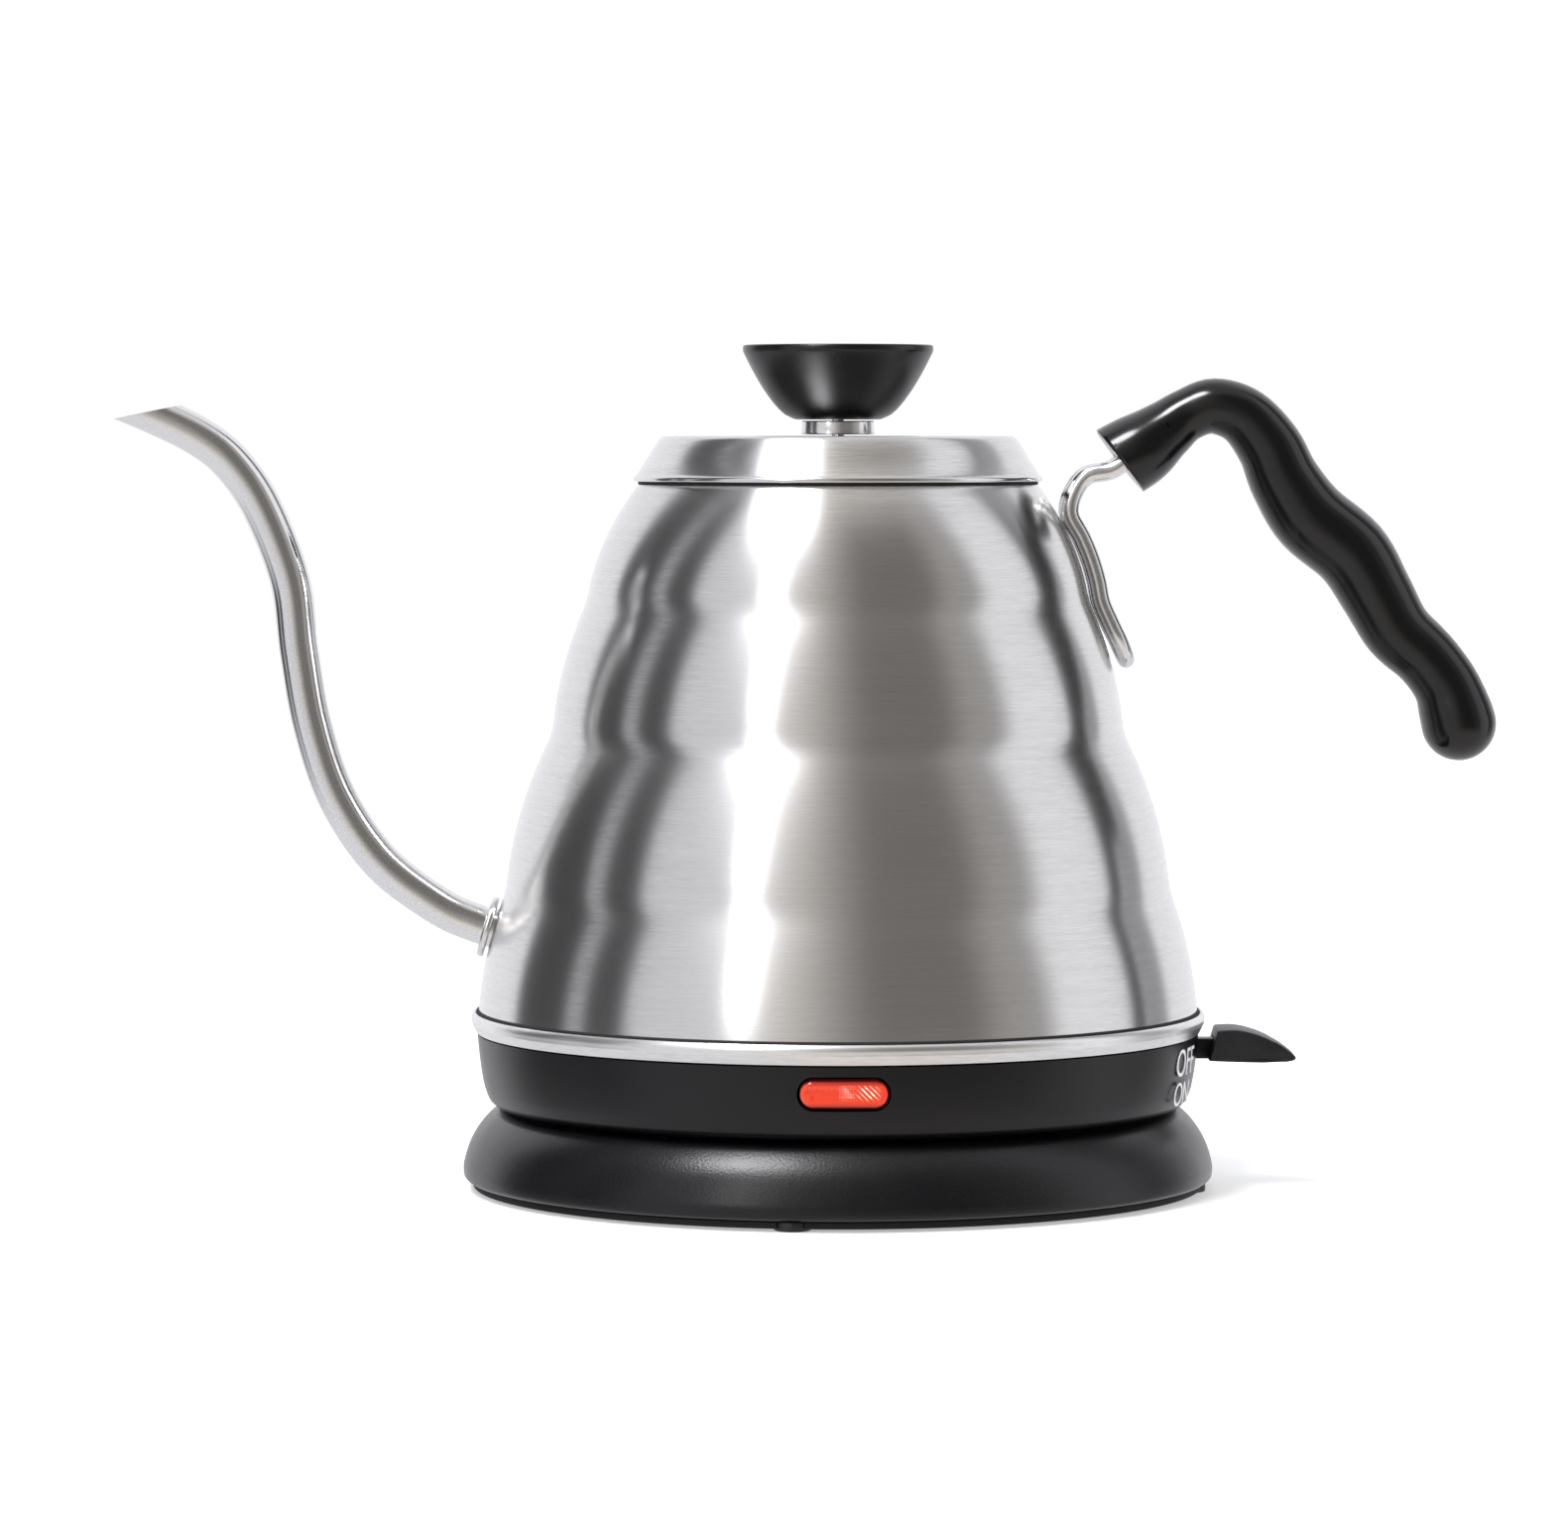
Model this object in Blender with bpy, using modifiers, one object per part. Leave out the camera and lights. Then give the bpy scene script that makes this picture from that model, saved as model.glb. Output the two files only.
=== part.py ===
"""Gooseneck electric kettle on a round power base, built as its separate pieces.

Metres, +Z up. The kettle's vertical axis is the Z axis and the table is z = 0.
The spout points to -X and the handle to +X.
"""
import math

import bmesh
import bpy
from mathutils import Matrix, Vector

MM = 0.001
GAP = 0.3 * MM                    # left between pieces that touch
SEGMENTS = 30                     # facets round the outer turned pieces
INNER_SEGMENTS = 18               # and round the small and hidden ones
WELD = 0.00001                    # merge distance

# power base
BASE_R = 82.1 * MM                # widest, just above the lip
BASE_TOP_R = 74.2 * MM
BASE_TOP_Z = 17.6 * MM
BASE_WALL = 2.0 * MM
LIP_Z = 2.5 * MM
PLATE_R = 80.0 * MM
PLATE_BOTTOM_Z = 0.6 * MM
PLATE_TOP_Z = 2.1 * MM
CENTRE_PAD_R = 12.0 * MM
CENTRE_PAD_DROP = 0.4 * MM
FOOT_COUNT = 4
FOOT_R = 4.0 * MM
FOOT_TURN = math.radians(-97.5)
FOOT_RING_R = PLATE_R - FOOT_R + 0.8 * MM
BASE_SCREW_RING_R = 55.0 * MM
GLAND_R = 5.5 * MM
GLAND_BORE_R = 3.25 * MM
GLAND_LENGTH = 8.0 * MM

# fasteners
SCREW_COUNT = 3
SCREW_R = 1.4 * MM
SCREW_HEAD_R = 3.0 * MM
SCREW_HEAD_H = 0.9 * MM
POST_R = 3.8 * MM

# socket on the base and plug under the kettle
HUB_R = 16.5 * MM
HUB_RISE = 12.4 * MM              # above the base's top
HUB_FLANGE = 5.5 * MM
HUB_DROP = 10.1 * MM              # below the base's top
HUB_FLOOR_DROP = 3.6 * MM
GROOVE_INNER_R = 8.0 * MM
GROOVE_OUTER_R = 12.0 * MM
HUB_BORE_R = 3.2 * MM
CONTACT_WALL = 0.7 * MM
CONTACT_H = 10.0 * MM
SHUTTER_WALL = 6.0 * MM
SHUTTER_H = 1.8 * MM
WELL_CLEARANCE = 1.0 * MM
WELL_WALL = 2.5 * MM
WELL_DEPTH = 12.0 * MM
WELL_ROOF = 3.0 * MM
PIN_R = 1.5 * MM
PLUG_RING_R = 10.3 * MM
PLUG_RING_WALL = 1.2 * MM

# collar and trim ring
COLLAR_GAP = 0.8 * MM             # dark line between the kettle and its base
COLLAR_H = 15.8 * MM
COLLAR_WALL = 2.4 * MM
COLLAR_LIP = 4.0 * MM
COVER_RECESS = 1.6 * MM
COVER_T = 1.5 * MM
COVER_SCREW_OUT = 11.5 * MM       # from the hub's wall to the screws
RING_H = 5.0 * MM
RING_BEAD = 1.8 * MM              # stands proud of the vessel wall

# vessel
BODY_R = 78.9 * MM
MOUTH_R = 43.6 * MM
BODY_H = 117.5 * MM               # bottom edge to mouth
BODY_WALL = 0.9 * MM
VALLEYS = ((0.317, 0.784), (0.535, 0.540), (0.824, 0.247))  # shares of the flare and of the height
SWELLS = (1.95 * MM, 1.45 * MM, 1.87 * MM, 1.2 * MM)        # how far each band bulges
FLOOR_T = 1.2 * MM
FLOOR_RAISE = 1.6 * MM
FLOOR_SLACK = 0.2 * MM            # for the wall's facets
DIFFUSER_MARGIN = 7.0 * MM        # past the element's middle
DIFFUSER_T = 1.8 * MM
ELEMENT_OUT = 10.0 * MM           # from the screws to the element's middle
ELEMENT_R = 2.9 * MM
ELEMENT_SWEEP = math.radians(320)
TERMINAL_R = 1.4 * MM
TERMINAL_INSET = 0.05             # radians short of the element's ends
BIMETAL_R = 6.5 * MM
BIMETAL_T = 0.4 * MM
STEAM_TUBE_R = 3.4 * MM
STEAM_TUBE_WALL = 0.6 * MM
STEAM_TUBE_TURN = math.radians(22)
STEAM_TUBE_REACH = 60.0 * MM      # from the axis, at the floor

# spout: offsets from its root on the wall, then the tube's radius
SPOUT_ROOT_DZ = 20.3 * MM         # above the vessel's bottom edge
SPOUT_TILT = math.radians(16.5)
SPOUT_ROUTE = ((-4.0, -1.2, 4.3), (0, 0, 4.3), (4.0, 1.2, 4.3), (12.0, 4.9, 4.3), (24.5, 14.5, 4.4),
               (34.0, 28.5, 4.4), (39.4, 44.2, 4.4), (42.3, 60.5, 4.4), (44.3, 76.3, 4.4), (50.3, 92.1, 4.4),
               (56.7, 101.7, 4.4), (63.8, 107.5, 4.35), (74.1, 112.6, 4.3), (85.4, 117.2, 4.3))
SPOUT_TIP = (75.2, 113.0)         # middle of the mouth, from the root
SPOUT_TIP_SLOPE = math.radians(11.4)
SPOUT_WALL = 0.7 * MM
FLANGE_R = 6.85 * MM
FLANGE_T = 1.6 * MM
STRAINER_R = 8.5 * MM
STRAINER_T = 0.6 * MM

# handle: offsets from the middle of its front face, then half its thickness
HANDLE_OUT = 18.1 * MM            # front face from the mouth's edge
HANDLE_UP = 4.8 * MM
HANDLE_ROUTE = ((-6.0, -3.0, 8.4), (0, 0.4, 8.4), (5.0, 3.4, 8.0), (10.0, 7.2, 6.6), (14.5, 10.4, 5.8),
                (20.3, 12.3, 6.1), (27.0, 10.0, 6.5), (32.5, 3.5, 7.2), (36.0, -4.0, 7.8),
                (41.5, -12.0, 8.5), (50.5, -19.6, 8.5), (56.0, -28.5, 8.0), (60.6, -36.5, 7.6),
                (66.8, -42.4, 7.2), (71.2, -48.3, 7.3), (73.3, -53.8, 8.0), (74.2, -57.0, 8.2))
HANDLE_FACE_SLOPE = math.radians(38)
HANDLE_WIDTH_RATIO = 1.2
ROD_R = 2.0 * MM
ROD_SPREAD = 5.5 * MM             # each leg from the middle
ROD_SOCKET = 13.0 * MM            # how deep the legs go into the grip
BRACKET_TOP_DZ = -6.7 * MM        # from the mouth to the upper weld
BRACKET_FOOT_DZ = -30.4 * MM      # and to the lower weld
BRACKET_TAIL = 7.8 * MM

# lamp and switch
LENS_W = 19.0 * MM
LENS_H = 6.7 * MM
LENS_T = 3.4 * MM
LENS_X = 0.6 * MM
LENS_DZ = 10.1 * MM               # above the collar's bottom
PIVOT_INSET = 25.0 * MM           # from the collar's outside
PIVOT_DZ = 12.1 * MM
PIVOT_R = 1.5 * MM
PIVOT_CLEARANCE = 0.06 * MM
LEVER_W = 5.6 * MM
LEVER_HUB_R = 4.2 * MM
STEM_H = 4.4 * MM
STEM_L = 33.0 * MM                # from the pivot outwards
TAIL_L = 9.5 * MM                 # and inwards
SWITCH_TRAVEL = math.radians(17)
PADDLE_W = 15.0 * MM
PADDLE_OUTLINE = ((27.0, -2.9), (29.0, 4.6), (33.4, 4.7), (38.2, 3.4), (42.6, 1.2), (46.0, -1.3),
                  (46.2, -2.1), (44.0, -2.9), (36.0, -3.3))

# lid and knob
LID_LIFT = 0.5 * MM               # dark line between lid and mouth
LID_H = 10.1 * MM
LID_TOP_R = 38.7 * MM
LID_OVERHANG = 0.4 * MM           # of its top hat over the mouth's edge
LID_WALL = 0.9 * MM
INSERT_CLEARANCE = 0.9 * MM
INSERT_DEPTH = 8.0 * MM           # below the mouth
FERRULE_R = 8.0 * MM
FERRULE_H = 3.0 * MM
KNOB_R = 20.8 * MM
KNOB_H = 16.3 * MM
KNOB_FOOT_R = 9.4 * MM
KNOB_RIM = 1.4 * MM

# stack of heights worked out from the sizes above
COLLAR_Z = BASE_TOP_Z + COLLAR_GAP
COVER_Z = COLLAR_Z + COVER_RECESS
RING_Z = COLLAR_Z + COLLAR_H + GAP
BODY_Z = RING_Z + 2.0 * MM        # the vessel's bottom edge stands on the ring's ledge
MOUTH_Z = BODY_Z + BODY_H
FLOOR_Z = BODY_Z + FLOOR_RAISE
DIFFUSER_Z = FLOOR_Z - GAP - DIFFUSER_T
WELL_TOP_Z = COVER_Z + WELL_DEPTH
LID_Z = MOUTH_Z + LID_LIFT
LID_TOP_Z = LID_Z + LID_H
COLLAR_R = BODY_R + 0.1 * MM
PIVOT_X = COLLAR_R - PIVOT_INSET
PIVOT_Z = COLLAR_Z + PIVOT_DZ
HUB_TOP_Z = BASE_TOP_Z + HUB_RISE
HUB_BOTTOM_Z = BASE_TOP_Z - HUB_DROP
HUB_FLOOR_Z = BASE_TOP_Z - HUB_FLOOR_DROP
HUB_FLANGE_R = HUB_R + HUB_FLANGE
GLAND_Z = (PLATE_TOP_Z + BASE_TOP_Z - BASE_WALL) / 2
COVER_SCREW_RING_R = HUB_R + COVER_SCREW_OUT
ELEMENT_RING_R = COVER_SCREW_RING_R + ELEMENT_OUT
DIFFUSER_R = ELEMENT_RING_R + DIFFUSER_MARGIN

FINISHES = {
    "brushed_steel": ((0.62, 0.61, 0.60), 0.32, 1.0),
    "polished_steel": ((0.70, 0.69, 0.68), 0.16, 1.0),
    "aluminium": ((0.66, 0.66, 0.68), 0.40, 1.0),
    "brass": ((0.66, 0.50, 0.22), 0.30, 1.0),
    "gloss_black": ((0.012, 0.012, 0.013), 0.18, 0.0),
    "satin_black": ((0.022, 0.021, 0.023), 0.42, 0.0),
    "charcoal": ((0.045, 0.043, 0.048), 0.50, 0.0),
    "rubber_black": ((0.03, 0.03, 0.03), 0.75, 0.0),
    "lamp_red": ((0.80, 0.02, 0.01), 0.12, 0.0),
    "ceramic_white": ((0.75, 0.74, 0.70), 0.55, 0.0),
}


def clear_scene():
    """Take away what a new file starts with."""
    for old in list(bpy.data.objects):
        bpy.data.objects.remove(old, do_unlink=True)


def collection(name):
    """A collection of that name, linked to the scene."""
    made = bpy.data.collections.new(name)
    bpy.context.scene.collection.children.link(made)
    return made


def finish(name):
    """The Principled material of that name, made once."""
    found = bpy.data.materials.get(name)
    if found:
        return found
    colour, roughness, metallic = FINISHES[name]
    made = bpy.data.materials.new(name)
    made.use_nodes = True
    shader = made.node_tree.nodes["Principled BSDF"]
    shader.inputs["Base Color"].default_value = (*colour, 1.0)
    shader.inputs["Roughness"].default_value = roughness
    shader.inputs["Metallic"].default_value = metallic
    return made


def add_object(name, data, material, home=None, place=(0, 0, 0)):
    """An object in the parts collection, or in another one, with its finish."""
    made = bpy.data.objects.new(name, data)
    made.location = place
    (home or PARTS).objects.link(made)
    if material:
        data.materials.append(finish(material))
    return made


def empty(name, place):
    """A joint's axis point, which the moving pieces hang on."""
    made = bpy.data.objects.new(name, None)
    made.location = place
    PARTS.objects.link(made)
    return made


def hang_on(parent, *pieces):
    """Parent pieces to an empty without moving them."""
    for piece in pieces:
        piece.parent = parent
        piece.matrix_parent_inverse = Matrix.Translation(parent.location).inverted()


def polar(radius, angle, z=0.0):
    """A point at that radius and turn about the Z axis."""
    return Vector((radius * math.cos(angle), radius * math.sin(angle), z))


def arc(centre, radius, start, end, steps):
    """Points of a circular arc in a profile, angles in degrees from +X towards +Z."""
    turns = (math.radians(start + (end - start) * k / steps) for k in range(steps + 1))
    return [(centre[0] + radius * math.cos(a), centre[1] + radius * math.sin(a)) for a in turns]


def turned(name, profile, material, segments=SEGMENTS, home=None):
    """Spin a profile of (radius, z) about Z. It runs down its outer side and back up inside."""
    mesh = bpy.data.meshes.new(name)
    form = bmesh.new()
    corners = [form.verts.new((radius, 0.0, z)) for radius, z in profile]
    pairs = list(zip(corners, corners[1:]))
    if profile[0][0] > WELD or profile[-1][0] > WELD:
        pairs.append((corners[-1], corners[0]))
    for pair in pairs:
        form.edges.new(pair)
    form.to_mesh(mesh)
    form.free()
    made = add_object(name, mesh, material, home)
    spin = made.modifiers.new("spin", "SCREW")
    spin.axis = "Z"
    spin.steps = spin.render_steps = segments
    spin.use_merge_vertices = True
    spin.merge_threshold = WELD
    spin.use_smooth_shade = False
    return made


def rod(name, radius, low, high, material, place=(0, 0), segments=16, home=None, turn=None):
    """A plain round bar from low to high along Z, or along Z of the matrix turn."""
    form = bmesh.new()
    bmesh.ops.create_cone(form, cap_ends=True, segments=segments, radius1=radius, radius2=radius,
                          depth=high - low)
    bmesh.ops.translate(form, verts=form.verts, vec=(0, 0, (low + high) / 2))
    if turn:
        bmesh.ops.transform(form, verts=form.verts, matrix=turn)
    mesh = bpy.data.meshes.new(name)
    form.to_mesh(mesh)
    form.free()
    return add_object(name, mesh, material, home, (place[0], place[1], 0))


def block(name, low, high, material, home=None, turn=None, edge=0.0):
    """A box between two corners, with bevelled edges if asked."""
    form = bmesh.new()
    size = Vector(high) - Vector(low)
    bmesh.ops.create_cube(form, size=1.0)
    bmesh.ops.scale(form, verts=form.verts, vec=size)
    bmesh.ops.translate(form, verts=form.verts, vec=Vector(low) + size / 2)
    if turn:
        bmesh.ops.transform(form, verts=form.verts, matrix=turn)
    mesh = bpy.data.meshes.new(name)
    form.to_mesh(mesh)
    form.free()
    made = add_object(name, mesh, material, home)
    if edge:
        soften = made.modifiers.new("edge", "BEVEL")
        soften.width = edge
        soften.segments = 2
    return made


def extruded(name, outline, width, material, home=None, place=(0, 0, 0)):
    """An outline of (x, z) given thickness along Y, half of it to each side."""
    form = bmesh.new()
    corners = [form.verts.new((x, -width / 2, z)) for x, z in outline]
    face = form.faces.new(corners)
    grown = bmesh.ops.extrude_face_region(form, geom=[face])
    moved = [v for v in grown["geom"] if isinstance(v, bmesh.types.BMVert)]
    bmesh.ops.translate(form, verts=moved, vec=(0, width, 0))
    bmesh.ops.recalc_face_normals(form, faces=form.faces)
    mesh = bpy.data.meshes.new(name)
    form.to_mesh(mesh)
    form.free()
    return add_object(name, mesh, material, home, place)


def smooth_path(points, steps):
    """A smooth curve through the points (Catmull-Rom); every entry of a point is blended alike."""
    padded = [points[0], *points, points[-1]]
    path = []
    for a, b, c, d in zip(padded, padded[1:], padded[2:], padded[3:]):
        for k in range(steps):
            t = k / steps
            path.append(tuple(
                0.5 * (2 * q + (r - p) * t + (2 * p - 5 * q + 4 * r - s) * t ** 2
                       + (3 * q - p - 3 * r + s) * t ** 3)
                for p, q, r, s in zip(a, b, c, d)))
    path.append(tuple(points[-1]))
    return path


def tube(name, path, material, resolution=4, caps=True, home=None):
    """A round bar along a path of (x, y, z, radius), as a mesh."""
    curve = bpy.data.curves.new(name, "CURVE")
    curve.dimensions = "3D"
    curve.bevel_depth = 1.0       # each point's radius sets the size
    curve.bevel_resolution = resolution
    curve.use_fill_caps = caps
    line = curve.splines.new("POLY")
    line.points.add(len(path) - 1)
    for point, (x, y, z, radius) in zip(line.points, path):
        point.co = (x, y, z, 1.0)
        point.radius = radius
    bent = add_object(name + "_line", curve, None, CUTTERS)
    bpy.context.view_layer.update()
    seen = bent.evaluated_get(bpy.context.evaluated_depsgraph_get())
    mesh = bpy.data.meshes.new_from_object(seen)
    bpy.data.objects.remove(bent, do_unlink=True)
    form = bmesh.new()
    form.from_mesh(mesh)
    bmesh.ops.remove_doubles(form, verts=form.verts, dist=WELD)
    form.to_mesh(mesh)
    form.free()
    mesh.name = name
    return add_object(name, mesh, material, home)


def combine(target, other, operation):
    """Cut a piece with a guide solid, or join the guide to it."""
    step = target.modifiers.new(other.name, "BOOLEAN")
    step.operation = operation
    step.solver = "EXACT"
    step.object = other
    other.hide_render = True
    other.display_type = "WIRE"


def cut(target, *cutters):
    """Take each cutter out of the piece."""
    for cutter in cutters:
        combine(target, cutter, "DIFFERENCE")


def join(target, *others):
    """Make each guide solid one with the piece."""
    for other in others:
        combine(target, other, "UNION")


def body_radius(z):
    """Outside radius of the vessel's wall at a height, with its four swelling bands."""
    share = [(0.0, 1.0), *VALLEYS, (1.0, 0.0)]
    knots = [(MOUTH_R + (BODY_R - MOUTH_R) * out, BODY_Z + BODY_H * up) for out, up in share]
    z = min(max(z, BODY_Z), MOUTH_Z)
    for (r_top, z_top), (r_low, z_low), swell in zip(knots, knots[1:], SWELLS):
        t = (z_top - z) / (z_top - z_low)
        if t <= 1 + WELD:
            return r_top + (r_low - r_top) * t + 4 * swell * t * (1 - t)


def body_heights(per_band):
    """Heights down the wall, the same number in each band."""
    edges = [1.0, *(up for _, up in VALLEYS), 0.0]
    heights = []
    for top, low in zip(edges, edges[1:]):
        heights += [top + (low - top) * k / per_band for k in range(per_band)]
    return [BODY_Z + BODY_H * h for h in (*heights, 0.0)]


def make_base():
    """The power base: shell, bottom plate, feet, screws and the cord's gland."""
    slope = [(BASE_TOP_R, BASE_TOP_Z), (BASE_TOP_R + 1.1 * MM, BASE_TOP_Z - 0.4 * MM),
             (BASE_TOP_R + 1.9 * MM, BASE_TOP_Z - 1.2 * MM), (BASE_R - 3.8 * MM, BASE_TOP_Z - 3.1 * MM),
             (BASE_R - 1.8 * MM, BASE_TOP_Z - 7.0 * MM), (BASE_R - 0.3 * MM, LIP_Z + 4.0 * MM),
             (BASE_R, LIP_Z + 1.8 * MM), (BASE_R - 0.4 * MM, LIP_Z + 0.4 * MM),
             (BASE_R - 1.2 * MM, LIP_Z)]
    inside = [(BASE_R - BASE_WALL - 0.4 * MM, LIP_Z), (BASE_R - BASE_WALL, LIP_Z + 2.0 * MM),
              (BASE_R - BASE_WALL - 1.7 * MM, BASE_TOP_Z - 7.0 * MM),
              (BASE_R - BASE_WALL - 4.4 * MM, BASE_TOP_Z - 3.6 * MM),
              (BASE_TOP_R - 1.0 * MM, BASE_TOP_Z - BASE_WALL)]
    hole = HUB_R + GAP
    shell = turned("base_shell", [*slope, *inside, (hole, BASE_TOP_Z - BASE_WALL), (hole, BASE_TOP_Z)],
                   "charcoal")
    plate = turned("base_bottom_plate", [
        (0, PLATE_TOP_Z), (PLATE_R, PLATE_TOP_Z), (PLATE_R, PLATE_BOTTOM_Z),
        (CENTRE_PAD_R, PLATE_BOTTOM_Z), (CENTRE_PAD_R, PLATE_BOTTOM_Z - CENTRE_PAD_DROP),
        (0, PLATE_BOTTOM_Z - CENTRE_PAD_DROP)], "rubber_black")
    for k in range(FOOT_COUNT):
        spot = polar(FOOT_RING_R, FOOT_TURN + math.tau * k / FOOT_COUNT)
        rod(f"foot_{k + 1}", FOOT_R, 0.0, PLATE_TOP_Z, "rubber_black", spot)
        cut(plate, rod(f"foot_notch_{k + 1}", FOOT_R + GAP, -MM, PLATE_TOP_Z + MM, None, spot,
                       home=CUTTERS))
    head_low = PLATE_BOTTOM_Z + 0.3 * MM
    post_low = PLATE_TOP_Z + GAP
    for k in range(SCREW_COUNT):
        spot = polar(BASE_SCREW_RING_R, math.tau * (k + 0.5) / SCREW_COUNT)
        join(shell, rod(f"base_post_{k + 1}", POST_R, post_low, BASE_TOP_Z - BASE_WALL / 2, None, spot,
                        home=CUTTERS))
        cut(shell, rod(f"base_post_bore_{k + 1}", SCREW_R + GAP, 0.0, BASE_TOP_Z - 2 * BASE_WALL, None,
                       spot, home=CUTTERS))
        cut(plate, rod(f"base_screw_hole_{k + 1}", SCREW_HEAD_R + GAP, -MM, PLATE_TOP_Z + MM, None,
                       spot, home=CUTTERS))
        screw(f"base_screw_{k + 1}", head_low, BASE_TOP_Z - 3 * BASE_WALL, spot)
    lying = Matrix.Translation((0, 0, GLAND_Z)) @ Matrix.Rotation(math.radians(-90), 4, "X")
    outer = BASE_R - 0.1 * MM
    gland = rod("cord_gland", GLAND_R, outer - GLAND_LENGTH, outer, "rubber_black", turn=lying,
                segments=24)
    cut(gland, rod("cord_way", GLAND_BORE_R, outer - 2 * GLAND_LENGTH, outer + MM, None, turn=lying,
                   segments=24, home=CUTTERS))
    hole_cutter = rod("gland_hole", GLAND_R + GAP, outer - 2 * GLAND_LENGTH, outer + 2 * MM, None,
                      turn=lying, segments=24, home=CUTTERS)
    cut(shell, hole_cutter)
    cut(plate, hole_cutter)


def screw(name, low, high, spot):
    """A cheese-head screw along Z, its head at the low end."""
    head_top = low + SCREW_HEAD_H
    made = turned(name, [(0, high), (SCREW_R * 0.7, high), (SCREW_R, high - 0.8 * MM),
                         (SCREW_R, head_top), (SCREW_HEAD_R, head_top), (SCREW_HEAD_R, low), (0, low)],
                  "polished_steel", segments=12)
    made.location = (spot[0], spot[1], 0)
    return made


def ring_profile(inner, outer, low, high):
    """A plain ring's section."""
    return [(outer, high), (outer, low), (inner, low), (inner, high)]


def make_socket():
    """The round socket in the middle of the base, its contacts and its turning shutter ring."""
    edge = 0.4 * MM
    turned("socket_housing", [
        (0, HUB_FLOOR_Z), (HUB_BORE_R, HUB_FLOOR_Z), (HUB_BORE_R, HUB_TOP_Z - edge),
        (HUB_BORE_R + edge, HUB_TOP_Z), (GROOVE_INNER_R - edge, HUB_TOP_Z),
        (GROOVE_INNER_R, HUB_TOP_Z - edge), (GROOVE_INNER_R, HUB_FLOOR_Z),
        (GROOVE_OUTER_R, HUB_FLOOR_Z), (GROOVE_OUTER_R, HUB_TOP_Z - edge),
        (GROOVE_OUTER_R + edge, HUB_TOP_Z), (HUB_R - edge, HUB_TOP_Z), (HUB_R, HUB_TOP_Z - edge),
        (HUB_R, HUB_BOTTOM_Z + 1.5 * MM), (HUB_FLANGE_R, HUB_BOTTOM_Z + 1.5 * MM),
        (HUB_FLANGE_R, HUB_BOTTOM_Z), (0, HUB_BOTTOM_Z)], "satin_black", INNER_SEGMENTS)
    contact_z = HUB_FLOOR_Z + GAP
    ring_out = GROOVE_OUTER_R - GAP
    turned("socket_ring_contact",
           ring_profile(ring_out - CONTACT_WALL, ring_out, contact_z, contact_z + CONTACT_H), "brass",
           INNER_SEGMENTS)
    bore_out = HUB_BORE_R - GAP
    turned("socket_centre_contact",
           ring_profile(bore_out - CONTACT_WALL, bore_out, contact_z, contact_z + CONTACT_H), "brass", 12)
    block("socket_terminal_block", (-11 * MM, -6 * MM, PLATE_TOP_Z + GAP),
          (11 * MM, 6 * MM, HUB_BOTTOM_Z - GAP), "ceramic_white")
    shutter_z = BASE_TOP_Z + GAP
    inner = HUB_R + GAP
    return turned("socket_shutter", ring_profile(inner, inner + SHUTTER_WALL, shutter_z,
                                                 min(shutter_z + SHUTTER_H, COVER_Z - GAP)),
                  "satin_black", INNER_SEGMENTS)


def make_vessel():
    """The spun steel vessel with its floor and the heating stack under it."""
    outer = [(body_radius(z), z) for z in body_heights(4)]
    inner = [(body_radius(z) - BODY_WALL, z) for z in reversed(body_heights(3))]
    vessel = turned("vessel", outer + inner, "brushed_steel")
    root, lean = spout_root()
    cut(vessel, rod("spout_hole", SPOUT_ROUTE[1][2] * MM + GAP, -8 * MM, 8 * MM, None, home=CUTTERS,
                    turn=Matrix.Translation(root) @ lean, segments=24))
    floor_r = body_radius(FLOOR_Z + FLOOR_T) - BODY_WALL - GAP - FLOOR_SLACK
    floor = turned("heater_plate", [
        (0, FLOOR_Z + FLOOR_T), (floor_r, FLOOR_Z + FLOOR_T), (floor_r, FLOOR_Z), (0, FLOOR_Z)],
        "brushed_steel")
    tube_spot = polar(STEAM_TUBE_REACH, STEAM_TUBE_TURN)
    cut(floor, rod("steam_hole", STEAM_TUBE_R + GAP, FLOOR_Z - MM, FLOOR_Z + 3 * MM, None, tube_spot,
                   home=CUTTERS, segments=24))
    return vessel, floor


def make_steam_tube():
    """The tube that leads steam from under the lid down to the switch, along the inside wall."""
    slack = STEAM_TUBE_R + 3.0 * MM + BODY_WALL
    low = FLOOR_Z - 7.0 * MM
    high = MOUTH_Z - INSERT_DEPTH - 2.0 * MM
    points = []
    for share in (0.0, 0.12, 0.33, 0.68, 0.88, 1.0):
        z = low + (high - low) * share
        reach = min(STEAM_TUBE_REACH, body_radius(max(z, BODY_Z)) - slack)
        points.append((*polar(reach, STEAM_TUBE_TURN, z), STEAM_TUBE_R))
    made = tube("steam_tube", smooth_path(points, 2), "polished_steel", resolution=2, caps=False)
    thicken(made, STEAM_TUBE_WALL)
    return made


def thicken(piece, wall):
    """Give an open skin its wall, inwards."""
    step = piece.modifiers.new("wall", "SOLIDIFY")
    step.thickness = wall
    step.offset = -1.0
    step.use_even_offset = True


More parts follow.
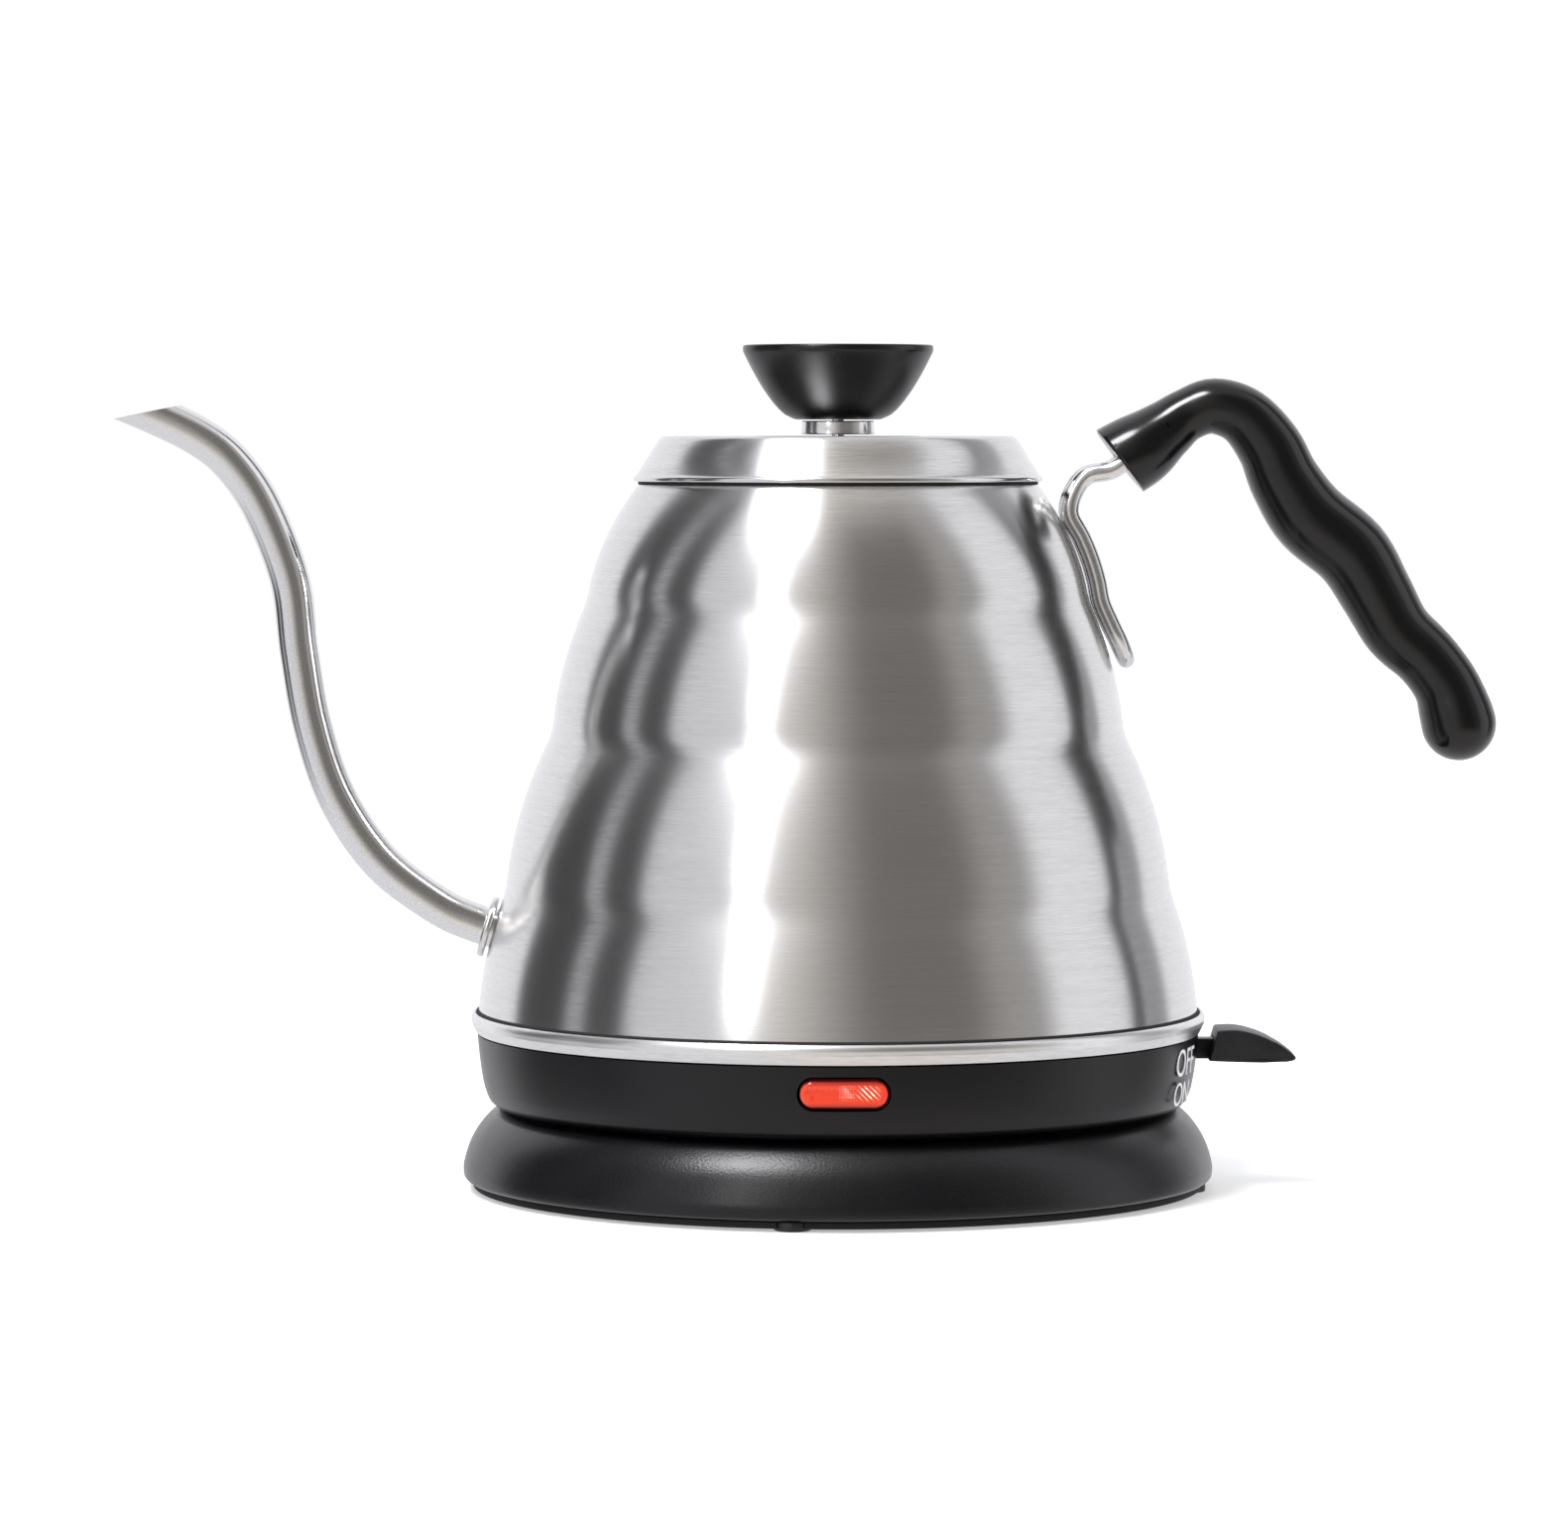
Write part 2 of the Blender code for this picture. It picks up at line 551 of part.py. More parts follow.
def make_heating():
    """Heat diffuser with its studs, the sheathed element and its terminals, and the bimetals."""
    diffuser = turned("heat_diffuser", [
        (0, DIFFUSER_Z + DIFFUSER_T), (DIFFUSER_R, DIFFUSER_Z + DIFFUSER_T), (DIFFUSER_R, DIFFUSER_Z),
        (0, DIFFUSER_Z)], "aluminium")
    pieces = [diffuser]
    cover_top = COVER_Z + COVER_T
    for k in range(SCREW_COUNT):
        spot = polar(COVER_SCREW_RING_R, math.tau * k / SCREW_COUNT + math.radians(60))
        join(diffuser, rod(f"stud_{k + 1}", POST_R - 0.8 * MM, cover_top + GAP,
                           DIFFUSER_Z + DIFFUSER_T / 2, None, spot, home=CUTTERS))
        cut(diffuser, rod(f"stud_bore_{k + 1}", SCREW_R + GAP, COVER_Z, DIFFUSER_Z - 2 * MM, None,
                          spot, home=CUTTERS))
        head_low = COVER_Z - GAP - SCREW_HEAD_H
        pieces.append(screw(f"cover_screw_{k + 1}", head_low, DIFFUSER_Z - 3 * MM, spot))
    ring_z = DIFFUSER_Z - GAP - ELEMENT_R
    start = math.tau - ELEMENT_SWEEP / 2
    count = 32
    loop = [(*polar(ELEMENT_RING_R, start + ELEMENT_SWEEP * k / count, ring_z), ELEMENT_R)
            for k in range(count + 1)]
    pieces.append(tube("heating_element", loop, "polished_steel", resolution=1))
    for k, side in enumerate((-1, 1)):  # below the element, just short of its two ends
        spot = polar(ELEMENT_RING_R, side * (ELEMENT_SWEEP / 2 - TERMINAL_INSET))
        pieces.append(rod(f"element_terminal_{k + 1}", TERMINAL_R, cover_top + 2 * MM,
                          ring_z - ELEMENT_R - GAP, "brass", spot, segments=12))
    for k, side in enumerate((-1, 1)):
        pieces.append(rod(f"control_bimetal_{k + 1}", BIMETAL_R, WELL_TOP_Z + WELL_ROOF + GAP,
                          WELL_TOP_Z + WELL_ROOF + GAP + BIMETAL_T, "brass",
                          (side * (BIMETAL_R + 1.5 * MM), 0), segments=24))
    pieces.append(rod("steam_bimetal", BIMETAL_R + 1.0 * MM, cover_top + GAP,
                      cover_top + GAP + BIMETAL_T, "brass",
                      polar(STEAM_TUBE_REACH, STEAM_TUBE_TURN), segments=24))
    return pieces


def make_collar():
    """Trim ring, collar with its lamp window and switch slot, cover, and the plug's housing."""
    wall = body_radius(RING_Z + RING_H)
    bead = wall + RING_BEAD
    ledge = BODY_R - 1.6 * MM
    bead_z = RING_Z + RING_H - 1.6 * MM
    ring = turned("trim_ring", [
        (wall + 2 * GAP, RING_Z + RING_H), *arc((bead - 1.3 * MM, bead_z), 1.3 * MM, 75, -25, 4),
        (COLLAR_R, RING_Z), (ledge, RING_Z), (ledge, BODY_Z - GAP), (BODY_R + GAP, BODY_Z - GAP)],
        "polished_steel")
    top = RING_Z - GAP
    outer = [(COLLAR_R, top), (COLLAR_R - 0.7 * MM, COLLAR_Z + 7.2 * MM),
             (COLLAR_R - 2.0 * MM, COLLAR_Z + 2.6 * MM), (COLLAR_R - 2.7 * MM, COLLAR_Z + 1.1 * MM),
             (COLLAR_R - 3.6 * MM, COLLAR_Z + 0.3 * MM), (COLLAR_R - 4.6 * MM, COLLAR_Z)]
    lip_r = COLLAR_R - 3.6 * MM - COLLAR_LIP
    inner = [(lip_r, COLLAR_Z), (lip_r, COLLAR_Z + 1.3 * MM), (COLLAR_R - 5.4 * MM, COLLAR_Z + 1.3 * MM),
             (COLLAR_R - COLLAR_WALL - 1.6 * MM, COLLAR_Z + 4.0 * MM),
             (COLLAR_R - COLLAR_WALL - 0.6 * MM, COLLAR_Z + 7.2 * MM), (COLLAR_R - COLLAR_WALL, top)]
    collar = turned("collar", outer + inner, "satin_black")
    lens_z = COLLAR_Z + LENS_DZ
    window = stadium("lamp_window", LENS_W + 2 * GAP, LENS_H + 2 * GAP, COLLAR_R + 5 * MM, 12 * MM,
                     lens_z, None, CUTTERS)
    drop = (COLLAR_R - PIVOT_X) * math.sin(SWITCH_TRAVEL) + STEM_H / 2 + MM
    slot = block("switch_slot", (COLLAR_R - 12 * MM, -LEVER_W / 2 - 0.6 * MM, PIVOT_Z - drop),
                 (COLLAR_R + 4 * MM, LEVER_W / 2 + 0.6 * MM, PIVOT_Z + STEM_H / 2 + 0.5 * MM), None,
                 CUTTERS)
    cut(collar, window, slot)
    well_r = HUB_R + WELL_CLEARANCE
    housing_r = well_r + WELL_WALL
    cover = turned("underside_cover", ring_profile(housing_r + GAP, lip_r - GAP + 2.2 * MM,
                                                   COVER_Z, COVER_Z + COVER_T), "satin_black")
    for k in range(SCREW_COUNT):
        spot = polar(COVER_SCREW_RING_R, math.tau * k / SCREW_COUNT + math.radians(60))
        cut(cover, rod(f"cover_hole_{k + 1}", SCREW_R + GAP, COVER_Z - MM, COVER_Z + 3 * MM, None, spot,
                       home=CUTTERS))
    roof = WELL_TOP_Z + WELL_ROOF
    housing = turned("control_housing", [
        (0, roof), (housing_r - 0.6 * MM, roof), (housing_r, roof - 0.6 * MM), (housing_r, COVER_Z),
        (well_r, COVER_Z), (well_r, WELL_TOP_Z), (0, WELL_TOP_Z)], "satin_black", INNER_SEGMENTS)
    pin_top = WELL_TOP_Z - GAP
    pin = turned("plug_centre_pin", [
        (0, pin_top), (PIN_R, pin_top), (PIN_R, HUB_FLOOR_Z + 5 * MM),
        (PIN_R * 0.5, HUB_FLOOR_Z + 4 * MM), (0, HUB_FLOOR_Z + 4 * MM)], "brass", 12)
    ring_low = HUB_FLOOR_Z + 6 * MM
    blade = turned("plug_ring_contact",
                   ring_profile(PLUG_RING_R - PLUG_RING_WALL, PLUG_RING_R, ring_low, pin_top), "brass",
                   INNER_SEGMENTS)
    return [ring, collar, cover, housing, pin, blade, *make_lamp(lens_z)]


def stadium(name, width, height, front, depth, z, material, home=None):
    """A flat bar with round ends across the front, its face towards -Y."""
    radius = height / 2
    reach = width / 2 - radius
    outline = [(x + reach, y) for x, y in arc((0, 0), radius, -90, 90, 8)]
    outline += [(x - reach, y) for x, y in arc((0, 0), radius, 90, 270, 8)]
    made = extruded(name, outline, depth, material, home)
    made.location = (LENS_X, -front + depth / 2, z)
    return made


def make_lamp(z):
    """The lens in the collar, with the lamp and its holder behind."""
    face = COLLAR_R - 0.35 * MM
    lens = stadium("lamp_lens", LENS_W, LENS_H, face, LENS_T, z, "lamp_red")
    lying = Matrix.Translation((LENS_X, -face + LENS_T + 3.2 * MM, z)) @ Matrix.Rotation(
        math.radians(90), 4, "Y")
    bulb = rod("lamp_bulb", 2.4 * MM, -5 * MM, 5 * MM, "ceramic_white", turn=lying, segments=12)
    back = -face + LENS_T + 3.2 * MM + 2.4 * MM + GAP
    holder = block("lamp_holder", (LENS_X - 7 * MM, back, z - 4 * MM),
                   (LENS_X + 7 * MM, back + 4 * MM, z + 4 * MM), "satin_black")
    return [lens, bulb, holder]


def spout_root():
    """Where the spout's axis meets the wall, and the turn that points Z along it."""
    z = BODY_Z + SPOUT_ROOT_DZ
    out = Vector((-math.cos(SPOUT_TILT), 0, math.sin(SPOUT_TILT)))
    return Vector((-body_radius(z), 0, z)), out.to_track_quat("Z", "Y").to_matrix().to_4x4()


def make_spout():
    """The gooseneck tube, the flange on the wall and the strainer inside."""
    root, lean = spout_root()
    points = [(root.x - dx * MM, 0.0, root.z + dz * MM, radius * MM) for dx, dz, radius in SPOUT_ROUTE]
    neck = tube("spout_tube", smooth_path(points, 2), "polished_steel", resolution=4, caps=False)
    thicken(neck, SPOUT_WALL)
    tip = Vector((root.x - SPOUT_TIP[0] * MM, 0, root.z + SPOUT_TIP[1] * MM))
    level = Matrix.Translation(tip) @ Matrix.Rotation(-SPOUT_TIP_SLOPE, 4, "Y")
    cut(neck, block("mouth_cut", (-20 * MM, -10 * MM, 0), (20 * MM, 10 * MM, 20 * MM), None, CUTTERS,
                    level))
    hole = SPOUT_ROUTE[1][2] * MM + GAP
    low = 1.5 * GAP
    high = low + FLANGE_T
    flange = turned("spout_flange", [
        (hole, high), (FLANGE_R - 0.7 * MM, high), (FLANGE_R - 0.1 * MM, high - 0.5 * MM),
        (FLANGE_R, low + 0.5 * MM), (FLANGE_R - 0.3 * MM, low), (hole, low)], "polished_steel",
        INNER_SEGMENTS)
    flange.matrix_world = Matrix.Translation(root) @ lean
    back = -BODY_WALL - 4.6 * MM
    strainer = turned("spout_strainer", [(0, back + STRAINER_T), (STRAINER_R, back + STRAINER_T),
                                         (STRAINER_R, back), (0, back)], "polished_steel", 16)
    strainer.matrix_world = Matrix.Translation(root) @ lean
    for k in range(7):
        spot = polar(0.0 if k == 6 else 5.0 * MM, math.tau * k / 6)
        cutter = rod(f"strainer_hole_{k + 1}", 1.2 * MM, back - MM, back + 2 * MM, None, spot,
                     home=CUTTERS, segments=6)
        cutter.matrix_world = Matrix.Translation(root) @ lean @ Matrix.Translation(spot)
        cut(strainer, cutter)
    return [neck, flange, strainer]


def handle_face():
    """The middle of the grip's front face and the direction the legs take into it."""
    centre = Vector((MOUTH_R + HANDLE_OUT, 0, MOUTH_Z + HANDLE_UP))
    inward = Vector((math.cos(HANDLE_FACE_SLOPE), 0, math.sin(HANDLE_FACE_SLOPE)))
    return centre, inward


def make_handle():
    """The wavy grip with its cut front face, and the bent rod bracket that carries it."""
    centre, inward = handle_face()
    route = [(centre.x + dx * MM, 0.0, centre.z + dz * MM, half * MM) for dx, dz, half in HANDLE_ROUTE]
    path = smooth_path(route, 2)
    x, _, z, radius = path[-1]
    heading = (Vector(path[-1][:3]) - Vector(path[-2][:3])).normalized()
    for angle in (25, 48, 68, 83):
        ahead = Vector((x, 0, z)) + heading * radius * math.sin(math.radians(angle))
        path.append((*ahead, radius * math.cos(math.radians(angle))))
    grip = tube("handle_grip", path, "gloss_black", resolution=4)
    grip.data.transform(Matrix.Diagonal((1, HANDLE_WIDTH_RATIO, 1, 1)))
    face = Matrix.Translation(centre) @ Matrix.Rotation(-HANDLE_FACE_SLOPE, 4, "Y")
    cut(grip, block("face_cut", (-30 * MM, -20 * MM, -25 * MM), (0, 20 * MM, 25 * MM), None, CUTTERS,
                    face))
    along = inward.to_track_quat("Z", "Y").to_matrix().to_4x4()
    for side in (-1, 1):
        mouth = Matrix.Translation(centre + Vector((0, side * ROD_SPREAD, 0))) @ along
        cut(grip, rod(f"leg_socket_{side}", ROD_R + GAP, -5 * MM, ROD_SOCKET, None, home=CUTTERS,
                      turn=mouth, segments=12))
    return [grip, make_bracket(centre, inward)]


def make_bracket(centre, inward):
    """One rod: up both legs along the wall, over and into the grip, closed by a bend below."""
    reach = ROD_R + 1.5 * GAP
    weld_top = MOUTH_Z + BRACKET_TOP_DZ
    weld_foot = MOUTH_Z + BRACKET_FOOT_DZ
    leg = [centre + inward * (ROD_SOCKET - 1.5 * MM), centre + inward * 4 * MM,
           centre - inward * 2.5 * MM]
    elbow_r = body_radius(weld_top) + reach
    leg.append(Vector((elbow_r + 3.6 * MM, 0, weld_top + 8.6 * MM)))
    leg.append(Vector((elbow_r + 0.6 * MM, 0, weld_top + 4.4 * MM)))
    steps = 5
    for k in range(steps + 1):
        z = weld_top + (weld_foot - weld_top) * k / steps
        leg.append(Vector((body_radius(z) + reach, 0, z)))
    tail_z = weld_foot - BRACKET_TAIL
    tail_r = body_radius(tail_z) + reach + 0.9 * MM
    down = [(p.x, -ROD_SPREAD, p.z, ROD_R) for p in leg]
    bend = []
    for k in range(1, 8):
        angle = math.pi * k / 8
        share = math.sin(angle)
        z = weld_foot + (tail_z - weld_foot) * share
        bend.append((body_radius(z) + reach + share * (tail_r - body_radius(tail_z) - reach),
                     -ROD_SPREAD * math.cos(angle), z, ROD_R))
    up = [(x, ROD_SPREAD, z, radius) for x, _, z, radius in reversed(down)]
    return tube("handle_bracket", smooth_path([*down, *bend, *up], 1), "polished_steel", resolution=2)


def make_switch():
    """The rocking lever with its paddle, and the fork, pin and contact block that serve it."""
    high, low = STEM_H / 2, -STEM_H / 2
    tail_x = PIVOT_X - TAIL_L
    lever = extruded("switch_lever", [
        (STEM_L, high), *arc((0, 0), LEVER_HUB_R, 32, 160, 8), (-TAIL_L, 1.2 * MM),
        (-TAIL_L, -0.8 * MM), *arc((0, 0), LEVER_HUB_R, 192, 328, 8), (STEM_L, low)],
        LEVER_W, "satin_black", place=(PIVOT_X, 0, PIVOT_Z))
    across = Matrix.Translation((PIVOT_X, 0, PIVOT_Z)) @ Matrix.Rotation(math.radians(90), 4, "X")
    cut(lever, rod("pivot_bore", PIVOT_R + PIVOT_CLEARANCE, -6 * MM, 6 * MM, None, home=CUTTERS,
                   turn=across, segments=24))
    outline = [(x * MM, z * MM) for x, z in PADDLE_OUTLINE]
    paddle = extruded("switch_paddle", outline, PADDLE_W, "charcoal", place=(PIVOT_X, 0, PIVOT_Z))
    pocket = block("stem_pocket", (PIVOT_X + 20 * MM, -LEVER_W / 2 - GAP, PIVOT_Z + low - GAP),
                   (PIVOT_X + STEM_L + GAP, LEVER_W / 2 + GAP, PIVOT_Z + high + GAP), None, CUTTERS)
    cut(paddle, pocket)
    pin = rod("switch_pivot_pin", PIVOT_R, -7 * MM, 7 * MM, "polished_steel", turn=across, segments=24)
    foot_z = COVER_Z + COVER_T + GAP
    ear = LEVER_W / 2 + 0.5 * MM
    ear_top = PIVOT_Z + 3.2 * MM
    half = ear + 1.6 * MM
    outline = [(-half, foot_z), (half, foot_z), (half, ear_top), (ear, ear_top), (ear, foot_z + 1.4 * MM),
               (-ear, foot_z + 1.4 * MM), (-ear, ear_top), (-half, ear_top)]
    fork = extruded("switch_fork", outline, 6 * MM, "satin_black", place=(PIVOT_X, 0, 0))
    fork.data.transform(Matrix.Rotation(math.radians(90), 4, "Z"))
    cut(fork, rod("fork_bore", PIVOT_R + GAP, -9 * MM, 9 * MM, None, home=CUTTERS, turn=across,
                  segments=24))
    contact = block("switch_contact_block", (tail_x - 1.5 * MM, -5 * MM, foot_z),
                    (tail_x + 4.5 * MM, 5 * MM, foot_z + 4.5 * MM), "ceramic_white")
    return [lever, paddle], [pin, fork, contact]


def make_lid():
    """The steel lid, its insert, and the knob on its ferrule with the screw from below."""
    rim = MOUTH_R + LID_OVERHANG
    bore = SCREW_R + 2 * GAP
    inside = LID_TOP_Z - LID_WALL
    cap = turned("lid_cap", [
        (bore, LID_TOP_Z), (LID_TOP_R - 0.7 * MM, LID_TOP_Z), (LID_TOP_R + 0.2 * MM, LID_TOP_Z - 0.7 * MM),
        (LID_TOP_R + 1.0 * MM, LID_TOP_Z - 1.8 * MM), (rim - 1.3 * MM, LID_Z + 3.7 * MM),
        (rim, LID_Z + 1.5 * MM), (rim + 0.6 * MM, LID_Z + 0.9 * MM), (rim + 0.6 * MM, LID_Z + 0.3 * MM),
        (rim + 0.3 * MM, LID_Z), (rim - 0.3 * MM, LID_Z), (rim - 0.8 * MM, LID_Z + 1.6 * MM),
        (rim - 2.1 * MM, LID_Z + 3.7 * MM), (LID_TOP_R - 0.2 * MM, inside - 0.8 * MM),
        (LID_TOP_R - 1.0 * MM, inside), (bore, inside)], "brushed_steel")
    insert_r = MOUTH_R - BODY_WALL - INSERT_CLEARANCE
    top = inside - GAP
    insert = turned("lid_insert", [
        (bore, top), (LID_TOP_R - 1.6 * MM, top), (insert_r, LID_Z + 3.0 * MM),
        (insert_r, MOUTH_Z - INSERT_DEPTH), (insert_r - 0.8 * MM, MOUTH_Z - INSERT_DEPTH),
        (insert_r - 0.8 * MM, LID_Z + 2.6 * MM), (LID_TOP_R - 2.0 * MM, top - 0.8 * MM),
        (bore, top - 0.8 * MM)], "brushed_steel")
    foot = LID_TOP_Z + GAP
    ferrule = turned("knob_ferrule", ring_profile(bore, FERRULE_R, foot, foot + FERRULE_H),
                     "polished_steel", INNER_SEGMENTS)
    knob_z = foot + FERRULE_H + GAP
    knob_top = knob_z + KNOB_H
    bowl_h = KNOB_H - KNOB_RIM
    bowl = []
    for k in range(1, 7):
        t = k / 6
        bowl.append((KNOB_FOOT_R + (KNOB_R - KNOB_FOOT_R) * (1 - t) ** 0.62,
                     knob_z + bowl_h * (1 - t)))
    knob = turned("knob", [
        (0, knob_top - 0.7 * MM), (KNOB_R - 3.0 * MM, knob_top - 0.4 * MM),
        (KNOB_R - 1.0 * MM, knob_top), (KNOB_R - 0.3 * MM, knob_top - 0.2 * MM),
        (KNOB_R, knob_top - 0.7 * MM), (KNOB_R, knob_top - KNOB_RIM), *bowl,
        (bore, knob_z), (bore, knob_z + 9 * MM), (0, knob_z + 9 * MM)], "satin_black")
    washer_top = top - 0.8 * MM - GAP
    washer = turned("knob_washer", ring_profile(bore, 5.5 * MM, washer_top - 0.8 * MM, washer_top),
                    "polished_steel", 16)
    fixing = screw("knob_screw", washer_top - 0.8 * MM - GAP - SCREW_HEAD_H, knob_z + 8 * MM, (0, 0))
    return [cap, insert, ferrule, knob, washer, fixing]


clear_scene()
PARTS = collection("electric_kettle")
CUTTERS = collection("cutters")
make_base()
swivel = empty("swivel_axis", (0, 0, BASE_TOP_Z))
hang_on(swivel, make_socket())
kettle = empty("kettle_seat", (0, 0, COLLAR_Z))
levers, switch_works = make_switch()
kettle_pieces = [*make_vessel(), make_steam_tube(), *make_heating(), *make_collar(), *make_spout(),
                 *make_handle(), *switch_works]
hang_on(kettle, *kettle_pieces)
hang_on(empty("lid_seat", (0, 0, LID_Z)), *make_lid())
hang_on(empty("switch_axis", (PIVOT_X, 0, PIVOT_Z)), *levers)
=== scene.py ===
# %% [markdown]
# # A gooseneck electric kettle
# The kettle stands on a round power base: a spun steel vessel with four soft bands, a long thin
# spout, a steel lid with a black knob, a wavy black grip on a bent rod, and a black collar with a
# red lamp and a rocker switch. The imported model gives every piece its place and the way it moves.
# Here each visible piece is made again, finer and with its real finish, in that same frame.

# %% Load the frame
import math

import bpy
from mathutils import Matrix, Vector


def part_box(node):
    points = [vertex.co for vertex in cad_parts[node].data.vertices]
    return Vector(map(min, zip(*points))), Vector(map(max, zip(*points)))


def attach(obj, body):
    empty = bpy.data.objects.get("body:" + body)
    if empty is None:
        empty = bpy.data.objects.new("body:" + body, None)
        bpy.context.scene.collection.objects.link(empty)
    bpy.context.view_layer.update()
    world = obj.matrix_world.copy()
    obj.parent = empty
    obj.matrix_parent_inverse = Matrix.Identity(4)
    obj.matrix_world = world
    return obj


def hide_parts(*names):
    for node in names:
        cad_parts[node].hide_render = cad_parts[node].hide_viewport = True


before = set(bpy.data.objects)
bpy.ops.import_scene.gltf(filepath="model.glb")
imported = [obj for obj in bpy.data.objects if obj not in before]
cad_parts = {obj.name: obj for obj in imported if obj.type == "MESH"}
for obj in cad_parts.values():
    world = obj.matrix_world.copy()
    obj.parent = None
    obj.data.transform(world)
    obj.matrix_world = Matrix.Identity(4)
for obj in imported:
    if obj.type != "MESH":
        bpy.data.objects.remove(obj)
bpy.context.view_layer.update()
MM = 0.001

# %% [markdown]
# ## Camera
# The camera comes first, since everything is judged through it. A product shot like this is taken
# from a good distance with a long lens, almost level with the top of the kettle, so the round
# edges show as very thin ellipses. The camera looks a little down.

# %% Set the camera
CAMERA_DISTANCE = 1.345
CAMERA_X = -11.8 * MM
CAMERA_Z = 164.8 * MM
CAMERA_PITCH = math.radians(3.03)
LENS = 141.2

bpy.ops.object.select_all(action="DESELECT")
bpy.ops.object.camera_add(location=(CAMERA_X, -CAMERA_DISTANCE, CAMERA_Z),
                          rotation=(math.radians(90) - CAMERA_PITCH, 0, 0))
camera = bpy.context.object
camera.name = "camera"
camera.data.lens = LENS
camera.data.clip_start = 0.05
camera.data.clip_end = 20
bpy.context.scene.camera = camera
print("camera at", [round(v, 4) for v in camera.location], "lens", LENS, "mm")

# %% [markdown]
# ## Small tools for node trees
# The light and every finish are node trees. Adding a node, filling its inputs and joining it to the
# last one is always the same three steps, so they are one function here, and the sums that come up
# most, such as a soft step and a soft window, get names that say what they do.

# %% Node helpers
def wire(tree, kind, inputs=(), **settings):
    """Add a node to the tree, set its fields and join or fill its inputs."""
    node = tree.nodes.new(kind)
    for field, value in settings.items():
        setattr(node, field, value)
    for key, value in dict(inputs).items():
        if isinstance(value, bpy.types.NodeSocket):
            tree.links.new(value, node.inputs[key])
        else:
            node.inputs[key].default_value = value
    return node


def calc(tree, operation, a, b=0.0, **settings):
    """One step of arithmetic; gives the output socket."""
    return wire(tree, "ShaderNodeMath", {0: a, 1: b}, operation=operation, **settings).outputs[0]


def soft_step(tree, value, start, end, low=0.0, high=1.0):
    """A smooth climb from low to high as value goes from start to end."""
    return wire(tree, "ShaderNodeMapRange", {0: value, 1: start, 2: end, 3: low, 4: high},
                interpolation_type="SMOOTHSTEP").outputs[0]


def blend_value(tree, share, a, b):
    """a where share is 0, b where it is 1."""
    return wire(tree, "ShaderNodeMix", {0: share, 2: a, 3: b}, data_type="FLOAT").outputs[0]


def window(tree, value, middle, half, soft):
    """1 within half of the middle, 0 outside, with a soft edge."""
    away = calc(tree, "ABSOLUTE", calc(tree, "SUBTRACT", value, middle))
    return soft_step(tree, away, half + soft / 2, half - soft / 2)


print("node helpers ready")

# %% [markdown]
# ## Light
# Brushed steel has hardly any colour of its own: it shows the studio around it. The studio is a
# white tent with a dim front, black flags at both sides, which draw the dark bands along the
# vessel, and two softboxes: a tall one to the front left and one above the left shoulder, which
# gives the black plastics their soft highlights. All of it is written into the world as soft
# windows over the compass direction and the height of the ray, so no panel stands in the way when
# the view turns. Only reflections and light see it: the camera itself sees a plain white.

# %% Build the studio
TENT = 1.0
OVERHEAD = 0.75
SWEEP = 0.85
# compass direction in degrees from the camera's side, half width, softness, brightness
PANELS = [
    (-98, 27, 4, 0.07),    # left flag
    (-93, 4, 3, 0.50),     # gap between its two sheets
    (10, 52, 6, 0.20),     # dim front
    (-32, 26, 42, 0.74),   # glow beside the tall softbox
    (-57, 14, 6, 0.80),    # cloth on its far side
    (62, 13, 16, 0.40),    # far edge of the front
    (85, 12, 12, 1.02),    # white side wall
    (111, 4, 3, 0.0),      # right flag
    (123, 7, 4, 0.36),     # paler edge of it
]
TALL_BOX = (-32, 3.2, 5, 7.0)
TOP_BOX = (Vector((-0.34, -0.32, 0.884)), 0.978, 0.993, 26.0)
WARM, COOL = (1.0, 0.95, 0.90, 1), (0.985, 0.985, 1.02, 1)

world = bpy.data.worlds.new("studio")
world.use_nodes = True
bpy.context.scene.world = world
tree = world.node_tree
tree.nodes.clear()
whole = wire(tree, "ShaderNodeTexCoord").outputs["Generated"]
ray = wire(tree, "ShaderNodeSeparateXYZ", {0: whole}).outputs
compass = calc(tree, "DEGREES", calc(tree, "ARCTAN2", ray["X"], calc(tree, "MULTIPLY", ray["Y"], -1)))
level = TENT
for middle, half, soft, brightness in PANELS:
    level = blend_value(tree, window(tree, compass, middle, half, soft), level, brightness)
tall = calc(tree, "MULTIPLY", window(tree, compass, *TALL_BOX[:3]),
            window(tree, ray["Z"], 0.46, 0.28, 0.16))
level = blend_value(tree, tall, level, TALL_BOX[3])
level = blend_value(tree, soft_step(tree, ray["Z"], 0.78, 0.97), level, OVERHEAD)
level = blend_value(tree, soft_step(tree, ray["Z"], -0.08, -0.55), level, SWEEP)
near = wire(tree, "ShaderNodeVectorMath", {0: whole, 1: TOP_BOX[0]}, operation="DOT_PRODUCT").outputs[1]
level = blend_value(tree, soft_step(tree, near, TOP_BOX[1], TOP_BOX[2]), level, TOP_BOX[3])
tint = wire(tree, "ShaderNodeMix", {0: window(tree, compass, 20, 48, 30), 6: COOL, 7: WARM},
            data_type="RGBA").outputs[2]
lit = wire(tree, "ShaderNodeBackground", {"Color": tint, "Strength": level}).outputs[0]
plain = wire(tree, "ShaderNodeBackground", {"Color": (1, 1, 1, 1)}).outputs[0]
seen = wire(tree, "ShaderNodeLightPath").outputs["Is Camera Ray"]
wire(tree, "ShaderNodeOutputWorld",
     {0: wire(tree, "ShaderNodeMixShader", {0: seen, 1: lit, 2: plain}).outputs[0]})
bpy.context.scene.view_settings.view_transform = "Standard"
print(len(PANELS), "panels and two softboxes in a tent of brightness", TENT)

# %% [markdown]
# ## Floor
# The floor is one wide pale disc. It glows a little by itself, as a lit sweep does, so it fades
# into the background without a horizon and still takes a faint shadow under the kettle.

